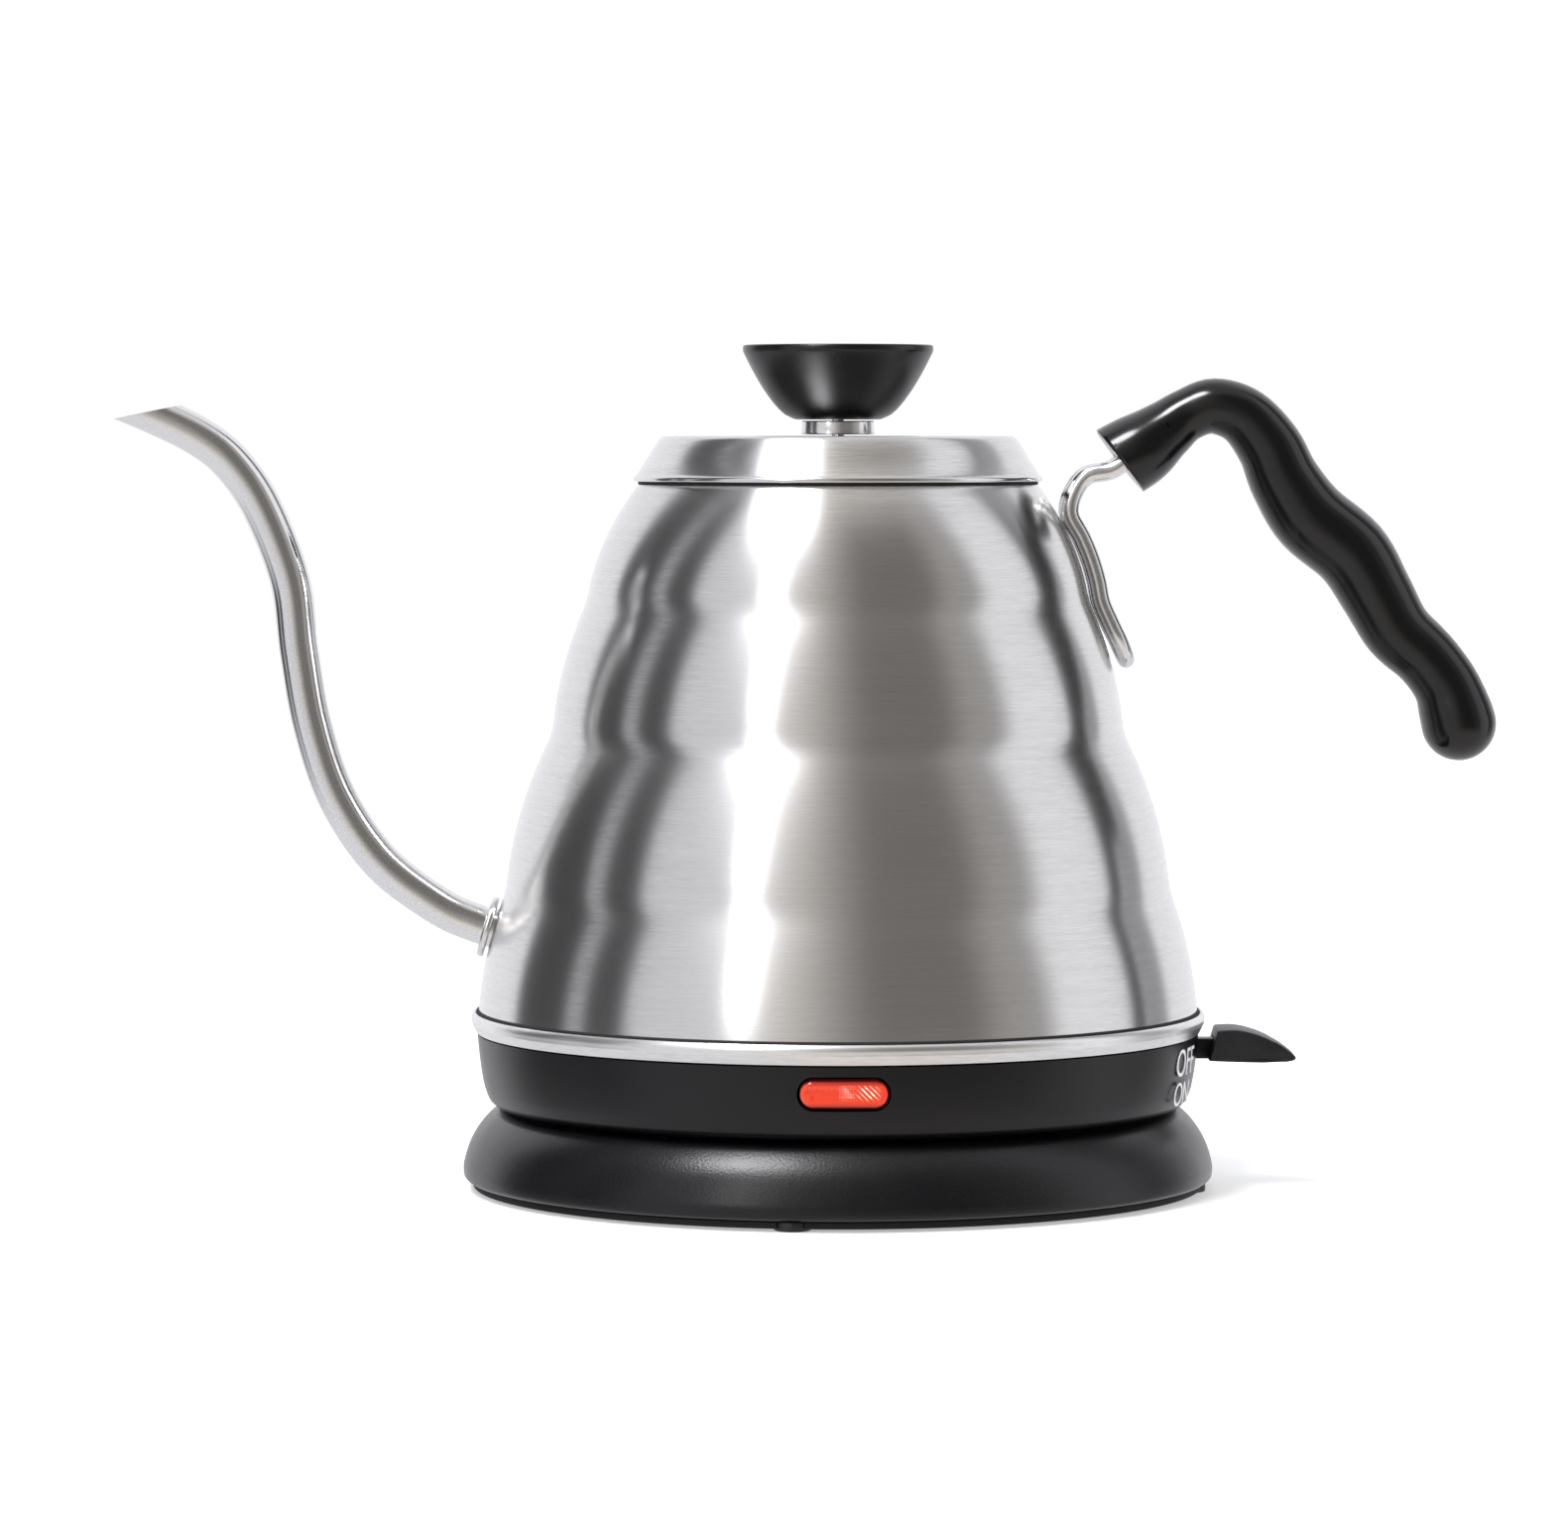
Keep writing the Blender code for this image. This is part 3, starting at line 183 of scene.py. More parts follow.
# %% Lay the floor
bpy.ops.object.select_all(action="DESELECT")
bpy.ops.mesh.primitive_circle_add(vertices=96, radius=4.0, fill_type="NGON", location=(0, 0, 0))
floor = bpy.context.object
floor.name = "floor"
paper = bpy.data.materials.new("floor_paper")
paper.use_nodes = True
sheet = paper.node_tree.nodes["Principled BSDF"].inputs
sheet["Base Color"].default_value = (0.86, 0.87, 0.88, 1)
sheet["Roughness"].default_value = 0.7
sheet["Emission Color"].default_value = (1, 1, 1, 1)
sheet["Emission Strength"].default_value = 0.42
floor.data.materials.append(paper)
floor.visible_glossy = False
print("floor disc of", len(floor.data.vertices), "corners")

# %% [markdown]
# ## Choosing what an operator acts on
# Blender's operators act on whatever is selected, so each step begins by choosing it: one piece, all
# of a piece in edit mode, or only the corners, edges or faces that pass a test of their place. A
# test of place keeps working when a size changes, which a list of corner numbers wouldn't.

# %% Selection helpers
def alone(piece=None):
    """Leave only this piece selected and active."""
    if bpy.context.object and bpy.context.object.mode != "OBJECT":
        bpy.ops.object.mode_set(mode="OBJECT")
    bpy.ops.object.select_all(action="DESELECT")
    if piece:
        piece.select_set(True)
        bpy.context.view_layer.objects.active = piece
    return piece


def edit(piece, mode="VERT"):
    """Open the piece in edit mode with all of it selected."""
    alone(piece)
    bpy.ops.object.mode_set(mode="EDIT")
    bpy.ops.mesh.select_mode(type=mode)
    bpy.ops.mesh.select_all(action="SELECT")


def pick(piece, kind, test):
    """Select the vertices, edges or faces whose middle passes the test, then open edit mode."""
    alone(piece)
    mesh = piece.data
    for group in (mesh.vertices, mesh.edges, mesh.polygons):
        group.foreach_set("select", [False] * len(group))
    if kind == "VERT":
        found = [v for v in mesh.vertices if test(v.co)]
    elif kind == "EDGE":
        found = [e for e in mesh.edges
                 if test((mesh.vertices[e.vertices[0]].co + mesh.vertices[e.vertices[1]].co) / 2)]
    else:
        found = [f for f in mesh.polygons if test(f)]
    for part in found:
        part.select = True
    bpy.ops.object.mode_set(mode="EDIT")
    bpy.ops.mesh.select_mode(type=kind)
    return len(found)


print("selection helpers ready")

# %% [markdown]
# ## Turning round pieces
# Most of the kettle is turned: the maker draws half the outline and spins it about the upright
# axis. A lathe like that could also be a Screw modifier, but drawing the line by extruding one
# vertex and spinning it in edit mode keeps each corner at hand, so that it can be rounded with a
# vertex bevel first. Corners are given as (radius, height) or (radius, height, rounding).

# %% Lathe helpers
TOUCH = 0.000004


def draw_line(name, corners):
    """Draw an open outline in the XZ plane from (radius, height[, rounding]) corners."""
    alone()
    first = corners[0]
    bpy.ops.mesh.primitive_plane_add(size=MM, location=(first[0], 0, first[1]))
    piece = bpy.context.object
    piece.name = piece.data.name = name
    bpy.ops.object.transform_apply(location=True, rotation=True, scale=True)
    bpy.ops.object.mode_set(mode="EDIT")
    bpy.ops.mesh.select_all(action="SELECT")
    bpy.ops.mesh.merge(type="CENTER")
    for a, b in zip(corners, corners[1:]):
        bpy.ops.mesh.extrude_vertices_move(
            TRANSFORM_OT_translate={"value": (b[0] - a[0], 0, b[1] - a[1])})
    for rounding in sorted({c[2] for c in corners if len(c) > 2}):
        spots = [Vector((c[0], 0, c[1])) for c in corners if len(c) > 2 and c[2] == rounding]
        pick(piece, "VERT", lambda co: any((co - s).length < TOUCH for s in spots))
        bpy.ops.mesh.bevel(offset=rounding, segments=5, affect="VERTICES")
    bpy.ops.object.mode_set(mode="OBJECT")
    return piece


def clean(piece, angle=35):
    """Merge doubles, turn the faces outwards and shade smooth up to that crease angle."""
    edit(piece)
    bpy.ops.mesh.remove_doubles(threshold=TOUCH)
    bpy.ops.mesh.normals_make_consistent(inside=False)
    bpy.ops.object.mode_set(mode="OBJECT")
    bpy.ops.object.shade_smooth_by_angle(angle=math.radians(angle))
    return piece


def lathe(name, corners, steps=144, closed=True, angle=35):
    """Spin an outline about Z; a closed one comes back to its first corner."""
    piece = draw_line(name, [*corners, corners[0][:2]] if closed else corners)
    edit(piece)
    bpy.ops.mesh.spin(steps=steps, angle=math.tau, center=(0, 0, 0), axis=(0, 0, 1))
    return clean(piece, angle)


print("lathe ready; corners closer than", TOUCH / MM, "mm are merged")

# %% [markdown]
# ## Finishes
# Every finish starts from one plain shader. What makes it look real is laid over that: noise on
# object coordinates, which stays put on the piece, is stretched into grain or scratches, mapped to
# a small range of tone or gloss, and raised a few thousandths of a millimetre as relief.

# %% Finish helpers
def finish(name, colour, roughness, metallic=0.0, **sockets):
    """A Principled material with its plain values set on the shader's own sockets."""
    made = bpy.data.materials.new(name)
    made.use_nodes = True
    shader = made.node_tree.nodes["Principled BSDF"]
    values = {"Base Color": (*colour, 1), "Roughness": roughness, "Metallic": metallic}
    for key, value in {**values, **{k.replace("_", " "): v for k, v in sockets.items()}}.items():
        shader.inputs[key].default_value = value
    return made, made.node_tree, shader


def grain(tree, stretch, detail=3.0, rough=0.6):
    """Noise on object coordinates, stretched per axis; about 0.5 on average."""
    where = wire(tree, "ShaderNodeTexCoord").outputs["Object"]
    placed = wire(tree, "ShaderNodeMapping", {"Vector": where, "Scale": stretch}).outputs[0]
    return wire(tree, "ShaderNodeTexNoise",
                {"Vector": placed, "Scale": 1.0, "Detail": detail, "Roughness": rough}).outputs[0]


def ramp(tree, value, low, high, dark, light):
    """Map value from low..high to dark..light, colours or numbers."""
    if isinstance(dark, tuple):
        share = wire(tree, "ShaderNodeMapRange", {0: value, 1: low, 2: high}).outputs[0]
        mix = wire(tree, "ShaderNodeMix", {0: share, 6: (*dark, 1), 7: (*light, 1)}, data_type="RGBA")
        return mix.outputs[2]
    return wire(tree, "ShaderNodeMapRange", {0: value, 1: low, 2: high, 3: dark, 4: light}).outputs[0]


def relief(tree, shader, height, distance, strength=1.0):
    """Let a height pattern, in metres of distance, tilt the shading."""
    made = wire(tree, "ShaderNodeBump", {"Height": height, "Distance": distance, "Strength": strength})
    tree.links.new(made.outputs[0], shader.inputs["Normal"])


print("finish helpers ready")

# %% [markdown]
# ## Brushed steel
# The vessel is spun steel brushed on the lathe: fine scratches run round it, so reflections stay
# crisp sideways and smear up and down. That is an anisotropic shader whose tangent follows the
# turn. The scratches themselves are noise squeezed flat: long round the vessel and hair-thin in
# height. They change the gloss and the tone a little, and stand up as a very shallow bump. The
# tangent needs a UV map that goes round the axis, and each brushed piece gets one.

# %% Brushed steel
def brushed(name, tone=0.72, roughness=0.22, lines=(260, 260, 6000), along=0.72, depth=0.000002):
    """Steel brushed round the upright axis."""
    made, tree, shader = finish(name, (tone, tone, tone), roughness, 1.0, Anisotropic=along,
                                Anisotropic_Rotation=0.25)
    hairs = grain(tree, lines, 4.0, 0.7)
    drifts = grain(tree, tuple(v / 6 for v in lines), 2.0)
    both = calc(tree, "ADD", calc(tree, "MULTIPLY", drifts, 0.3), calc(tree, "MULTIPLY", hairs, 0.7))
    light, dark = (tone * 1.03, tone * 1.03, tone * 1.04), (tone * 0.91, tone * 0.905, tone * 0.89)
    tree.links.new(ramp(tree, both, 0.38, 0.62, dark, light), shader.inputs["Base Color"])
    tree.links.new(ramp(tree, both, 0.35, 0.65, roughness + 0.03, roughness - 0.02),
                   shader.inputs["Roughness"])
    tree.links.new(wire(tree, "ShaderNodeTangent", direction_type="UV_MAP", uv_map="round").outputs[0],
                   shader.inputs["Tangent"])
    relief(tree, shader, grain(tree, lines, 1.0, 0.5), depth)
    return made


def wrap(piece):
    """A UV map round the upright axis: U is the turn, V the height, so a tangent follows the turn."""
    layer = piece.data.uv_layers.new(name="round")
    corners, loops = piece.data.vertices, piece.data.loops
    for face in piece.data.polygons:
        first = None
        for index in face.loop_indices:
            co = corners[loops[index].vertex_index].co
            turn = math.atan2(co.y, co.x) / math.tau
            if first is None:
                first = turn
            turn -= round(turn - first)
            layer.data[index].uv = (turn, co.z / math.tau / 0.05)
    return piece


STEEL_BODY = brushed("brushed_steel_vessel")
STEEL_LID = brushed("brushed_steel_lid", 0.74, 0.22, (260, 260, 5000), 0.7)
print("brushed steels ready")

# %% [markdown]
# ## Vessel
# The vessel flares from a 44 mm mouth to a 79 mm foot in four bands that swell a little, with soft
# valleys between them. One outline holds it all: the outside going down, the edge, the inside
# going up again and a rolled lip at the mouth. The outline is sampled every two millimetres and
# smoothed so that the valleys are rounded, as spun metal is.

# %% Spin the vessel
def reach_of(node):
    """A CAD node's largest distance from the upright axis."""
    return max(math.hypot(v.co.x, v.co.y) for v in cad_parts[node].data.vertices)


vessel_low, vessel_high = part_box("vessel")
BODY_Z, MOUTH_Z = vessel_low.z, vessel_high.z
BODY_R = reach_of("vessel")
MOUTH_R = reach_of("lid_cap") - 1.0 * MM
WALL = 0.9 * MM
VALLEYS = ((0.317, 0.784), (0.535, 0.540), (0.824, 0.247))  # share of the flare, of the height
SWELLS = (1.95 * MM, 1.45 * MM, 1.87 * MM, 1.2 * MM)


def sharp_radius(z):
    """Outside radius of the four bands at a height, with crisp valleys."""
    shares = [(0.0, 1.0), *VALLEYS, (1.0, 0.0)]
    knots = [(MOUTH_R + (BODY_R - MOUTH_R) * out, BODY_Z + (MOUTH_Z - BODY_Z) * up)
             for out, up in shares]
    z = min(max(z, BODY_Z), MOUTH_Z)
    for (r_top, z_top), (r_low, z_low), swell in zip(knots, knots[1:], SWELLS):
        t = (z_top - z) / (z_top - z_low)
        if t <= 1 + 1e-6:
            return r_top + (r_low - r_top) * t + 4 * swell * t * (1 - t)


def body_radius(z, soft=2.2 * MM):
    """The same with its valleys rounded off."""
    soft = min(soft, (z - BODY_Z) / 2, (MOUTH_Z - z) / 2)
    if soft < 0.05 * MM:
        return sharp_radius(z)
    return sum(w * sharp_radius(z + soft * k / 2)
               for k, w in ((-2, 0.1), (-1, 0.24), (0, 0.32), (1, 0.24), (2, 0.1)))


rows = 64
heights = [MOUTH_Z + (BODY_Z - MOUTH_Z) * k / rows for k in range(rows + 1)]
outside = [(body_radius(z), z) for z in heights]
inside_wall = [(body_radius(z) - WALL, z) for z in reversed(heights[::2])]
vessel = lathe("vessel_shell", [(MOUTH_R - WALL / 2, MOUTH_Z), *outside, *inside_wall], 192)
print("vessel from", round(BODY_R / MM, 1), "mm at the foot to", round(MOUTH_R / MM, 1), "mm at the mouth")

# %% [markdown]
# ## Cutting and handing over
# Holes and slanting ends are cut with a Boolean: a simple solid is put where the material has to
# go, and the exact solver takes it away. A finished piece then gets its finish and goes to its body
# in the frame, and the imported pieces it stands for are hidden.

# %% Cutting helpers
def settle(piece, turn):
    """Move a piece by a matrix and leave the move in its mesh."""
    alone(piece)
    piece.matrix_world = turn @ piece.matrix_world
    bpy.ops.object.transform_apply(location=True, rotation=True, scale=True)
    return piece


def cut(piece, cutter, operation="DIFFERENCE"):
    """Take the cutter's shape out of the piece with an applied Boolean."""
    alone(piece)
    step = piece.modifiers.new("cut", "BOOLEAN")
    step.operation = operation
    step.solver = "EXACT"
    step.object = cutter
    bpy.ops.object.modifier_apply(modifier=step.name)
    bpy.data.objects.remove(cutter)
    return piece


def drill(piece, radius, depth, place=(0, 0, 0), lying=False, turn=None, corners=48):
    """Take a round hole out of the piece: upright, lying along Y, or turned by a matrix."""
    alone()
    bpy.ops.mesh.primitive_cylinder_add(vertices=corners, radius=radius, depth=depth, location=place,
                                        rotation=(math.radians(90 if lying else 0), 0, 0))
    drilled = bpy.context.object
    return cut(piece, settle(drilled, turn) if turn is not None else drilled)


def hand_over(piece, body, slot, finish, *nodes):
    """Give the finished piece its material and its body, and hide the CAD nodes it stands for; slot is not
    used.
    """
    piece.data.materials.clear()
    piece.data.materials.append(finish)
    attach(piece, body)
    if nodes:
        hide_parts(*nodes)
    size = [round(v / MM, 1) for v in piece.dimensions]
    print(f"{piece.name}: {len(piece.data.polygons)} faces, {size} mm, on {body}")
    return piece


print("cutting helpers ready")

# %% [markdown]
# The spout's bore goes through the wall near the foot, so a round cutter, tilted as the spout is,
# takes that hole out of the finished wall.

# %% Bore the vessel for the spout
SPOUT_Z = BODY_Z + 20.3 * MM
SPOUT_TILT = math.radians(16.5)
SPOUT_HOLE_R = 4.6 * MM
SPOUT_ROOT = Vector((-body_radius(SPOUT_Z), 0, SPOUT_Z))
SPOUT_OUT = Vector((-math.cos(SPOUT_TILT), 0, math.sin(SPOUT_TILT)))
SPOUT_LEAN = Matrix.Translation(SPOUT_ROOT) @ SPOUT_OUT.to_track_quat("Z", "Y").to_matrix().to_4x4()
drill(vessel, SPOUT_HOLE_R, 16 * MM, turn=SPOUT_LEAN, corners=64)
vessel = wrap(clean(vessel, 40))
hand_over(vessel, "kettle", "brushed_steel", STEEL_BODY, "vessel")

# %% [markdown]
# ## Floor of the vessel and what shows inside
# With the lid off one looks down on the steel heater plate, the strainer in front of the spout and
# the thin steam tube that leads down to the switch. The plate has the ring of its element pressed
# up a little, so its outline gets two gentle steps before it is spun. The steam tube's foot goes
# down through it, so that hole is drilled last.

# %% Spin the heater plate
plate_low, plate_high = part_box("heater_plate")
plate_r = reach_of("heater_plate")
plate = lathe("heater_plate_pan", [
    (0, plate_high.z - 0.3 * MM), (22 * MM, plate_high.z - 0.3 * MM, 1 * MM),
    (26 * MM, plate_high.z, 1 * MM), (52 * MM, plate_high.z, 1 * MM),
    (56 * MM, plate_high.z - 0.4 * MM, 1 * MM), (plate_r, plate_high.z - 0.4 * MM),
    (plate_r, plate_low.z), (0, plate_low.z)], 128, closed=False)
tube_low, tube_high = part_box("steam_tube")
STEAM_TURN = math.radians(22)
STEAM_REACH = 60 * MM
STEAM_R = 3.4 * MM
drill(plate, STEAM_R + 0.3 * MM, 6 * MM, (
    STEAM_REACH * math.cos(STEAM_TURN), STEAM_REACH * math.sin(STEAM_TURN), plate_high.z))
hand_over(wrap(clean(plate)), "kettle", "brushed_steel", STEEL_LID, "heater_plate")

# %% [markdown]
# ## Tubes and bars
# The spout, the steam tube, the handle and its bracket are all drawn along a path. A curve with a
# round bevel does that well: each point has its own radius, and once the curve is made a mesh it
# can be cut, walled and rounded like any other.

# %% Draw tubes along a route
def smooth_route(route, steps):
    """More points along a smooth curve through the route (Catmull-Rom), all numbers alike."""
    padded = [route[0], *route, route[-1]]
    made = []
    for before, a, b, after in zip(padded, padded[1:], padded[2:], padded[3:]):
        for k in range(steps):
            t = k / steps
            made.append(tuple(
                0.5 * (2 * q + (r - p) * t + (2 * p - 5 * q + 4 * r - s) * t ** 2
                       + (3 * q - p - 3 * r + s) * t ** 3)
                for p, q, r, s in zip(before, a, b, after)))
    return [*made, tuple(route[-1])]


def bar(name, route, steps=6, sides=12, capped=True):
    """A round bar through (x, y, z, radius) points, made a mesh."""
    alone()
    bpy.ops.curve.primitive_nurbs_path_add(enter_editmode=False)
    curve = bpy.context.object
    curve.name = name
    line = curve.data
    line.splines.clear()
    points = smooth_route(route, steps)
    spline = line.splines.new("POLY")
    spline.points.add(len(points) - 1)
    for point, (x, y, z, radius) in zip(spline.points, points):
        point.co = (x, y, z, 1)
        point.radius = radius / MM
    line.dimensions = "3D"
    line.bevel_depth = MM
    line.bevel_resolution = sides
    line.use_fill_caps = capped
    bpy.ops.object.convert(target="MESH")
    piece = bpy.context.object
    piece.name = piece.data.name = name
    return clean(piece, 40)


def hollow(piece, wall):
    """Give an open tube its wall, inwards."""
    alone(piece)
    step = piece.modifiers.new("wall", "SOLIDIFY")
    step.thickness = wall
    step.offset = -1
    bpy.ops.object.modifier_apply(modifier=step.name)
    return piece


print("tube helpers ready")

# %% [markdown]
# ## Steam tube
# Steam from the boil has to reach the bimetal that trips the switch, so a thin tube runs from under
# the lid down along the wall and out through the heater plate. It follows the wall's bands.

# %% Lay the steam tube
steam_route = []
for share in (0.0, 0.12, 0.33, 0.68, 0.88, 1.0):
    z = tube_low.z + (tube_high.z - tube_low.z) * share
    out = min(STEAM_REACH, sharp_radius(max(z, BODY_Z)) - 7.3 * MM)
    steam_route.append((out * math.cos(STEAM_TURN), out * math.sin(STEAM_TURN), z, STEAM_R))
steam = clean(hollow(bar("steam_pipe", steam_route, 5, 8, capped=False), 0.6 * MM), 40)
print("steam tube through", len(steam_route), "points, from", round(tube_low.z / MM, 1), "to",
      round(tube_high.z / MM, 1), "mm")

# %% [markdown]
# ## Smooth steel
# The spout, the bracket and the small rings are drawn and tumbled rather than brushed. They are
# smoother than the vessel, with a fine grain of tiny pits that breaks the edges of the highlights.

# %% Smooth steel finishes
def tumbled(name, tone=0.76, roughness=0.2, pits=2600, depth=0.000006):
    """Drawn steel with a fine pitted grain."""
    made, tree, shader = finish(name, (tone, tone, tone), roughness, 1.0)
    fine = grain(tree, (pits, pits, pits), 2.0)
    cloud = grain(tree, (90, 90, 90), 2.0)
    tree.links.new(ramp(tree, fine, 0.3, 0.7, (tone * 0.9, tone * 0.9, tone * 0.9),
                        (tone * 1.06, tone * 1.06, tone * 1.07)), shader.inputs["Base Color"])
    tree.links.new(ramp(tree, cloud, 0.3, 0.7, roughness - 0.03, roughness + 0.05),
                   shader.inputs["Roughness"])
    relief(tree, shader, fine, depth)
    return made


STEEL_SPOUT = tumbled("drawn_steel_spout", 0.80, 0.13, 2600, 0.000003)
STEEL_ROD = tumbled("drawn_steel_rod", 0.80, 0.17, 1800, 0.000004)
STEEL_SMALL = tumbled("drawn_steel_fittings", 0.78, 0.16, 3000, 0.000003)
hand_over(steam, "kettle", "polished_steel", STEEL_SMALL, "steam_tube")

# %% [markdown]
# ## Spout
# The gooseneck leaves the wall near the foot, swings out and up and ends in a mouth cut almost
# level, so that the lip is a sharp point that pours a thin stream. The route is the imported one.
# The mouth is made by cutting the tube with a level box, and the tube then gets its thin wall.

# %% Draw the spout
SPOUT_ROUTE = ((-4.0, -1.2, 4.3), (0, 0, 4.3), (4.0, 1.2, 4.3), (12.0, 4.9, 4.3), (24.5, 14.5, 4.4),
               (34.0, 28.5, 4.4), (39.4, 44.2, 4.4), (42.3, 60.5, 4.4), (44.3, 76.3, 4.4),
               (50.3, 92.1, 4.4), (56.7, 101.7, 4.4), (63.8, 107.5, 4.35), (74.1, 112.6, 4.3),
               (85.4, 117.2, 4.3))  # outwards, upwards, radius, all in mm from the root
SPOUT_WALL = 0.7 * MM
SPOUT_TIP = Vector((-75.2, 0, 113.0)) * MM  # middle of the mouth, from the root
SPOUT_TIP_SLOPE = math.radians(-11.4)
CAD_ROOT = Vector((-sharp_radius(SPOUT_Z), 0, SPOUT_Z))
spout = bar("spout_neck", [(CAD_ROOT.x - out * MM, 0, CAD_ROOT.z + up * MM, radius * MM)
                           for out, up, radius in SPOUT_ROUTE], 8, 14, capped=False)
spout = hollow(spout, SPOUT_WALL)
alone()
bpy.ops.mesh.primitive_cube_add(size=40 * MM, location=(0, 0, 20 * MM))
cut(spout, settle(bpy.context.object,
                  Matrix.Translation(CAD_ROOT + SPOUT_TIP) @ Matrix.Rotation(SPOUT_TIP_SLOPE, 4, "Y")))
hand_over(clean(spout, 40), "kettle", "polished_steel", STEEL_SPOUT, "spout_tube")

# %% [markdown]
# A small turned flange covers the joint where the neck is welded on: a flat disc with a rounded
# rim. Behind the wall sits the strainer, a dished disc with a ring of holes.

# %% Turn the flange and the strainer
flange = lathe("spout_collar", [
    (4.55 * MM, 0.45 * MM), (6.75 * MM, 0.45 * MM, 0.3 * MM), (6.85 * MM, 1.5 * MM, 0.4 * MM),
    (6.3 * MM, 2.05 * MM, 0.4 * MM), (4.55 * MM, 2.05 * MM)], 64)
settle(flange, SPOUT_LEAN)
hand_over(flange, "kettle", "polished_steel", STEEL_SMALL, "spout_flange")

strainer = lathe("spout_sieve", [(0, -4.9 * MM), (7.2 * MM, -4.9 * MM, 0.4 * MM), (8.5 * MM, -4.9 * MM),
                                 (8.5 * MM, -5.5 * MM), (0, -5.5 * MM)], 64, closed=False)
for ring_r, holes in ((0, 1), (2.6 * MM, 6), (5.2 * MM, 12)):
    for k in range(holes):
        turn = math.tau * k / holes
        drill(strainer, 0.75 * MM, 4 * MM, (ring_r * math.cos(turn), ring_r * math.sin(turn), -5.2 * MM),
              corners=12)
settle(clean(strainer), SPOUT_LEAN)
hand_over(strainer, "kettle", "polished_steel", STEEL_SMALL, "spout_strainer")

# %% [markdown]
# ## Lid
# The lid is pressed from one sheet: a flat top, a rounded shoulder, a skirt that leans outwards
# and a rolled bottom edge that casts a thin dark line on the vessel. Inside it a deeper insert
# drops into the mouth. Both are turned outlines.

# %% Spin the lid
lid_low, lid_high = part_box("lid_cap")
LID_Z, LID_TOP = lid_low.z, lid_high.z
LID_R = reach_of("lid_cap")
SCREW_BORE_R = 2.0 * MM
top_r = LID_R - 5.9 * MM
lid = lathe("lid_hat", [
    (SCREW_BORE_R, LID_TOP), (top_r - 0.2 * MM, LID_TOP, 0.9 * MM),
    (top_r + 1.2 * MM, LID_TOP - 2.0 * MM, 1 * MM),
    (LID_R - 1.9 * MM, LID_Z + 3.5 * MM, 1.5 * MM), (LID_R - 0.5 * MM, LID_Z + 1.5 * MM, 0.4 * MM),
    (LID_R, LID_Z + 1.1 * MM, 0.3 * MM), (LID_R, LID_Z + 0.2 * MM, 0.35 * MM),
    (LID_R - 0.8 * MM, LID_Z + 0.2 * MM, 0.25 * MM),
    (LID_R - 1.4 * MM, LID_Z + 1.6 * MM), (LID_R - 2.7 * MM, LID_Z + 3.7 * MM),
    (top_r - 0.3 * MM, LID_TOP - 1.7 * MM, 0.4 * MM), (top_r - 1.2 * MM, LID_TOP - 0.9 * MM, 0.4 * MM),
    (SCREW_BORE_R, LID_TOP - 0.9 * MM)], 160)
hand_over(wrap(lid), "lid", "brushed_steel", STEEL_LID, "lid_cap")

insert_low, insert_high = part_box("lid_insert")
insert_r = reach_of("lid_insert")
insert = lathe("lid_plug", [
    (SCREW_BORE_R, insert_high.z), (top_r - 2.1 * MM, insert_high.z, 0.5 * MM),
    (insert_r, LID_Z + 3.0 * MM), (insert_r, insert_low.z, 0.3 * MM),
    (insert_r - 0.8 * MM, insert_low.z, 0.3 * MM), (insert_r - 0.8 * MM, LID_Z + 2.6 * MM),
    (top_r - 2.5 * MM, insert_high.z - 0.8 * MM), (SCREW_BORE_R, insert_high.z - 0.8 * MM)], 128)
hand_over(wrap(insert), "lid", "brushed_steel", STEEL_LID, "lid_insert")

# %% [markdown]
# ## Black mouldings
# Four blacks show most. The knob is a satin thermoset, the grip is the same resin polished glossy,
# the collar is a finer satin black and the power base has a matt, faintly sparkling grain. Three
# plainer ones are for the switch, the inner mouldings and the rubber. All are dark dielectrics, so
# what one sees is mostly their surface: the gloss varies slowly over the piece, and a fine grain
# breaks it up.

# %% Moulded finishes
def moulded(name, colour, roughness, cells=2200, depth=0.000006, sway=0.04, spark=1.0, **sockets):
    """A moulded plastic with a fine grain and slowly varying gloss."""
    made, tree, shader = finish(name, colour, roughness, 0.0, **sockets)
    fine = grain(tree, (cells, cells, cells), 3.0)
    slow = grain(tree, (45, 45, 45), 2.0)
    tree.links.new(ramp(tree, slow, 0.3, 0.7, roughness - sway, roughness + sway),
                   shader.inputs["Roughness"])
    bright = tuple(c * (1 + 0.6 * spark) for c in colour)
    tree.links.new(ramp(tree, fine, 0.35, 0.75, tuple(c * (1 - 0.25 * spark) for c in colour), bright),
                   shader.inputs["Base Color"])
    relief(tree, shader, fine, depth)
    return made


KNOB_BLACK = moulded("satin_black_knob", (0.002, 0.0018, 0.002), 0.30, 2600, 0.000003, spark=0.4)
GRIP_BLACK = moulded("gloss_black_grip", (0.0015, 0.0015, 0.0018), 0.17, 1400, 0.0000015, spark=0.3)
COLLAR_BLACK = moulded("satin_black_collar", (0.003, 0.0026, 0.0036), 0.33, 3000, 0.000004, spark=0.5,
                       Specular_IOR_Level=0.38)
BASE_BLACK = moulded("grained_charcoal_base", (0.003, 0.003, 0.0042), 0.30, 1500, 0.00004, spark=0.8,
                     Specular_IOR_Level=0.42)
PADDLE_BLACK = moulded("satin_charcoal_paddle", (0.010, 0.0105, 0.013), 0.40, 2200, 0.000008)
INNER_BLACK = moulded("inner_black_mouldings", (0.016, 0.016, 0.017), 0.5, 1800, 0.000006)
RUBBER = moulded("rubber_black_feet", (0.004, 0.004, 0.0045), 0.75, 1500, 0.00001)
print("seven black mouldings ready")

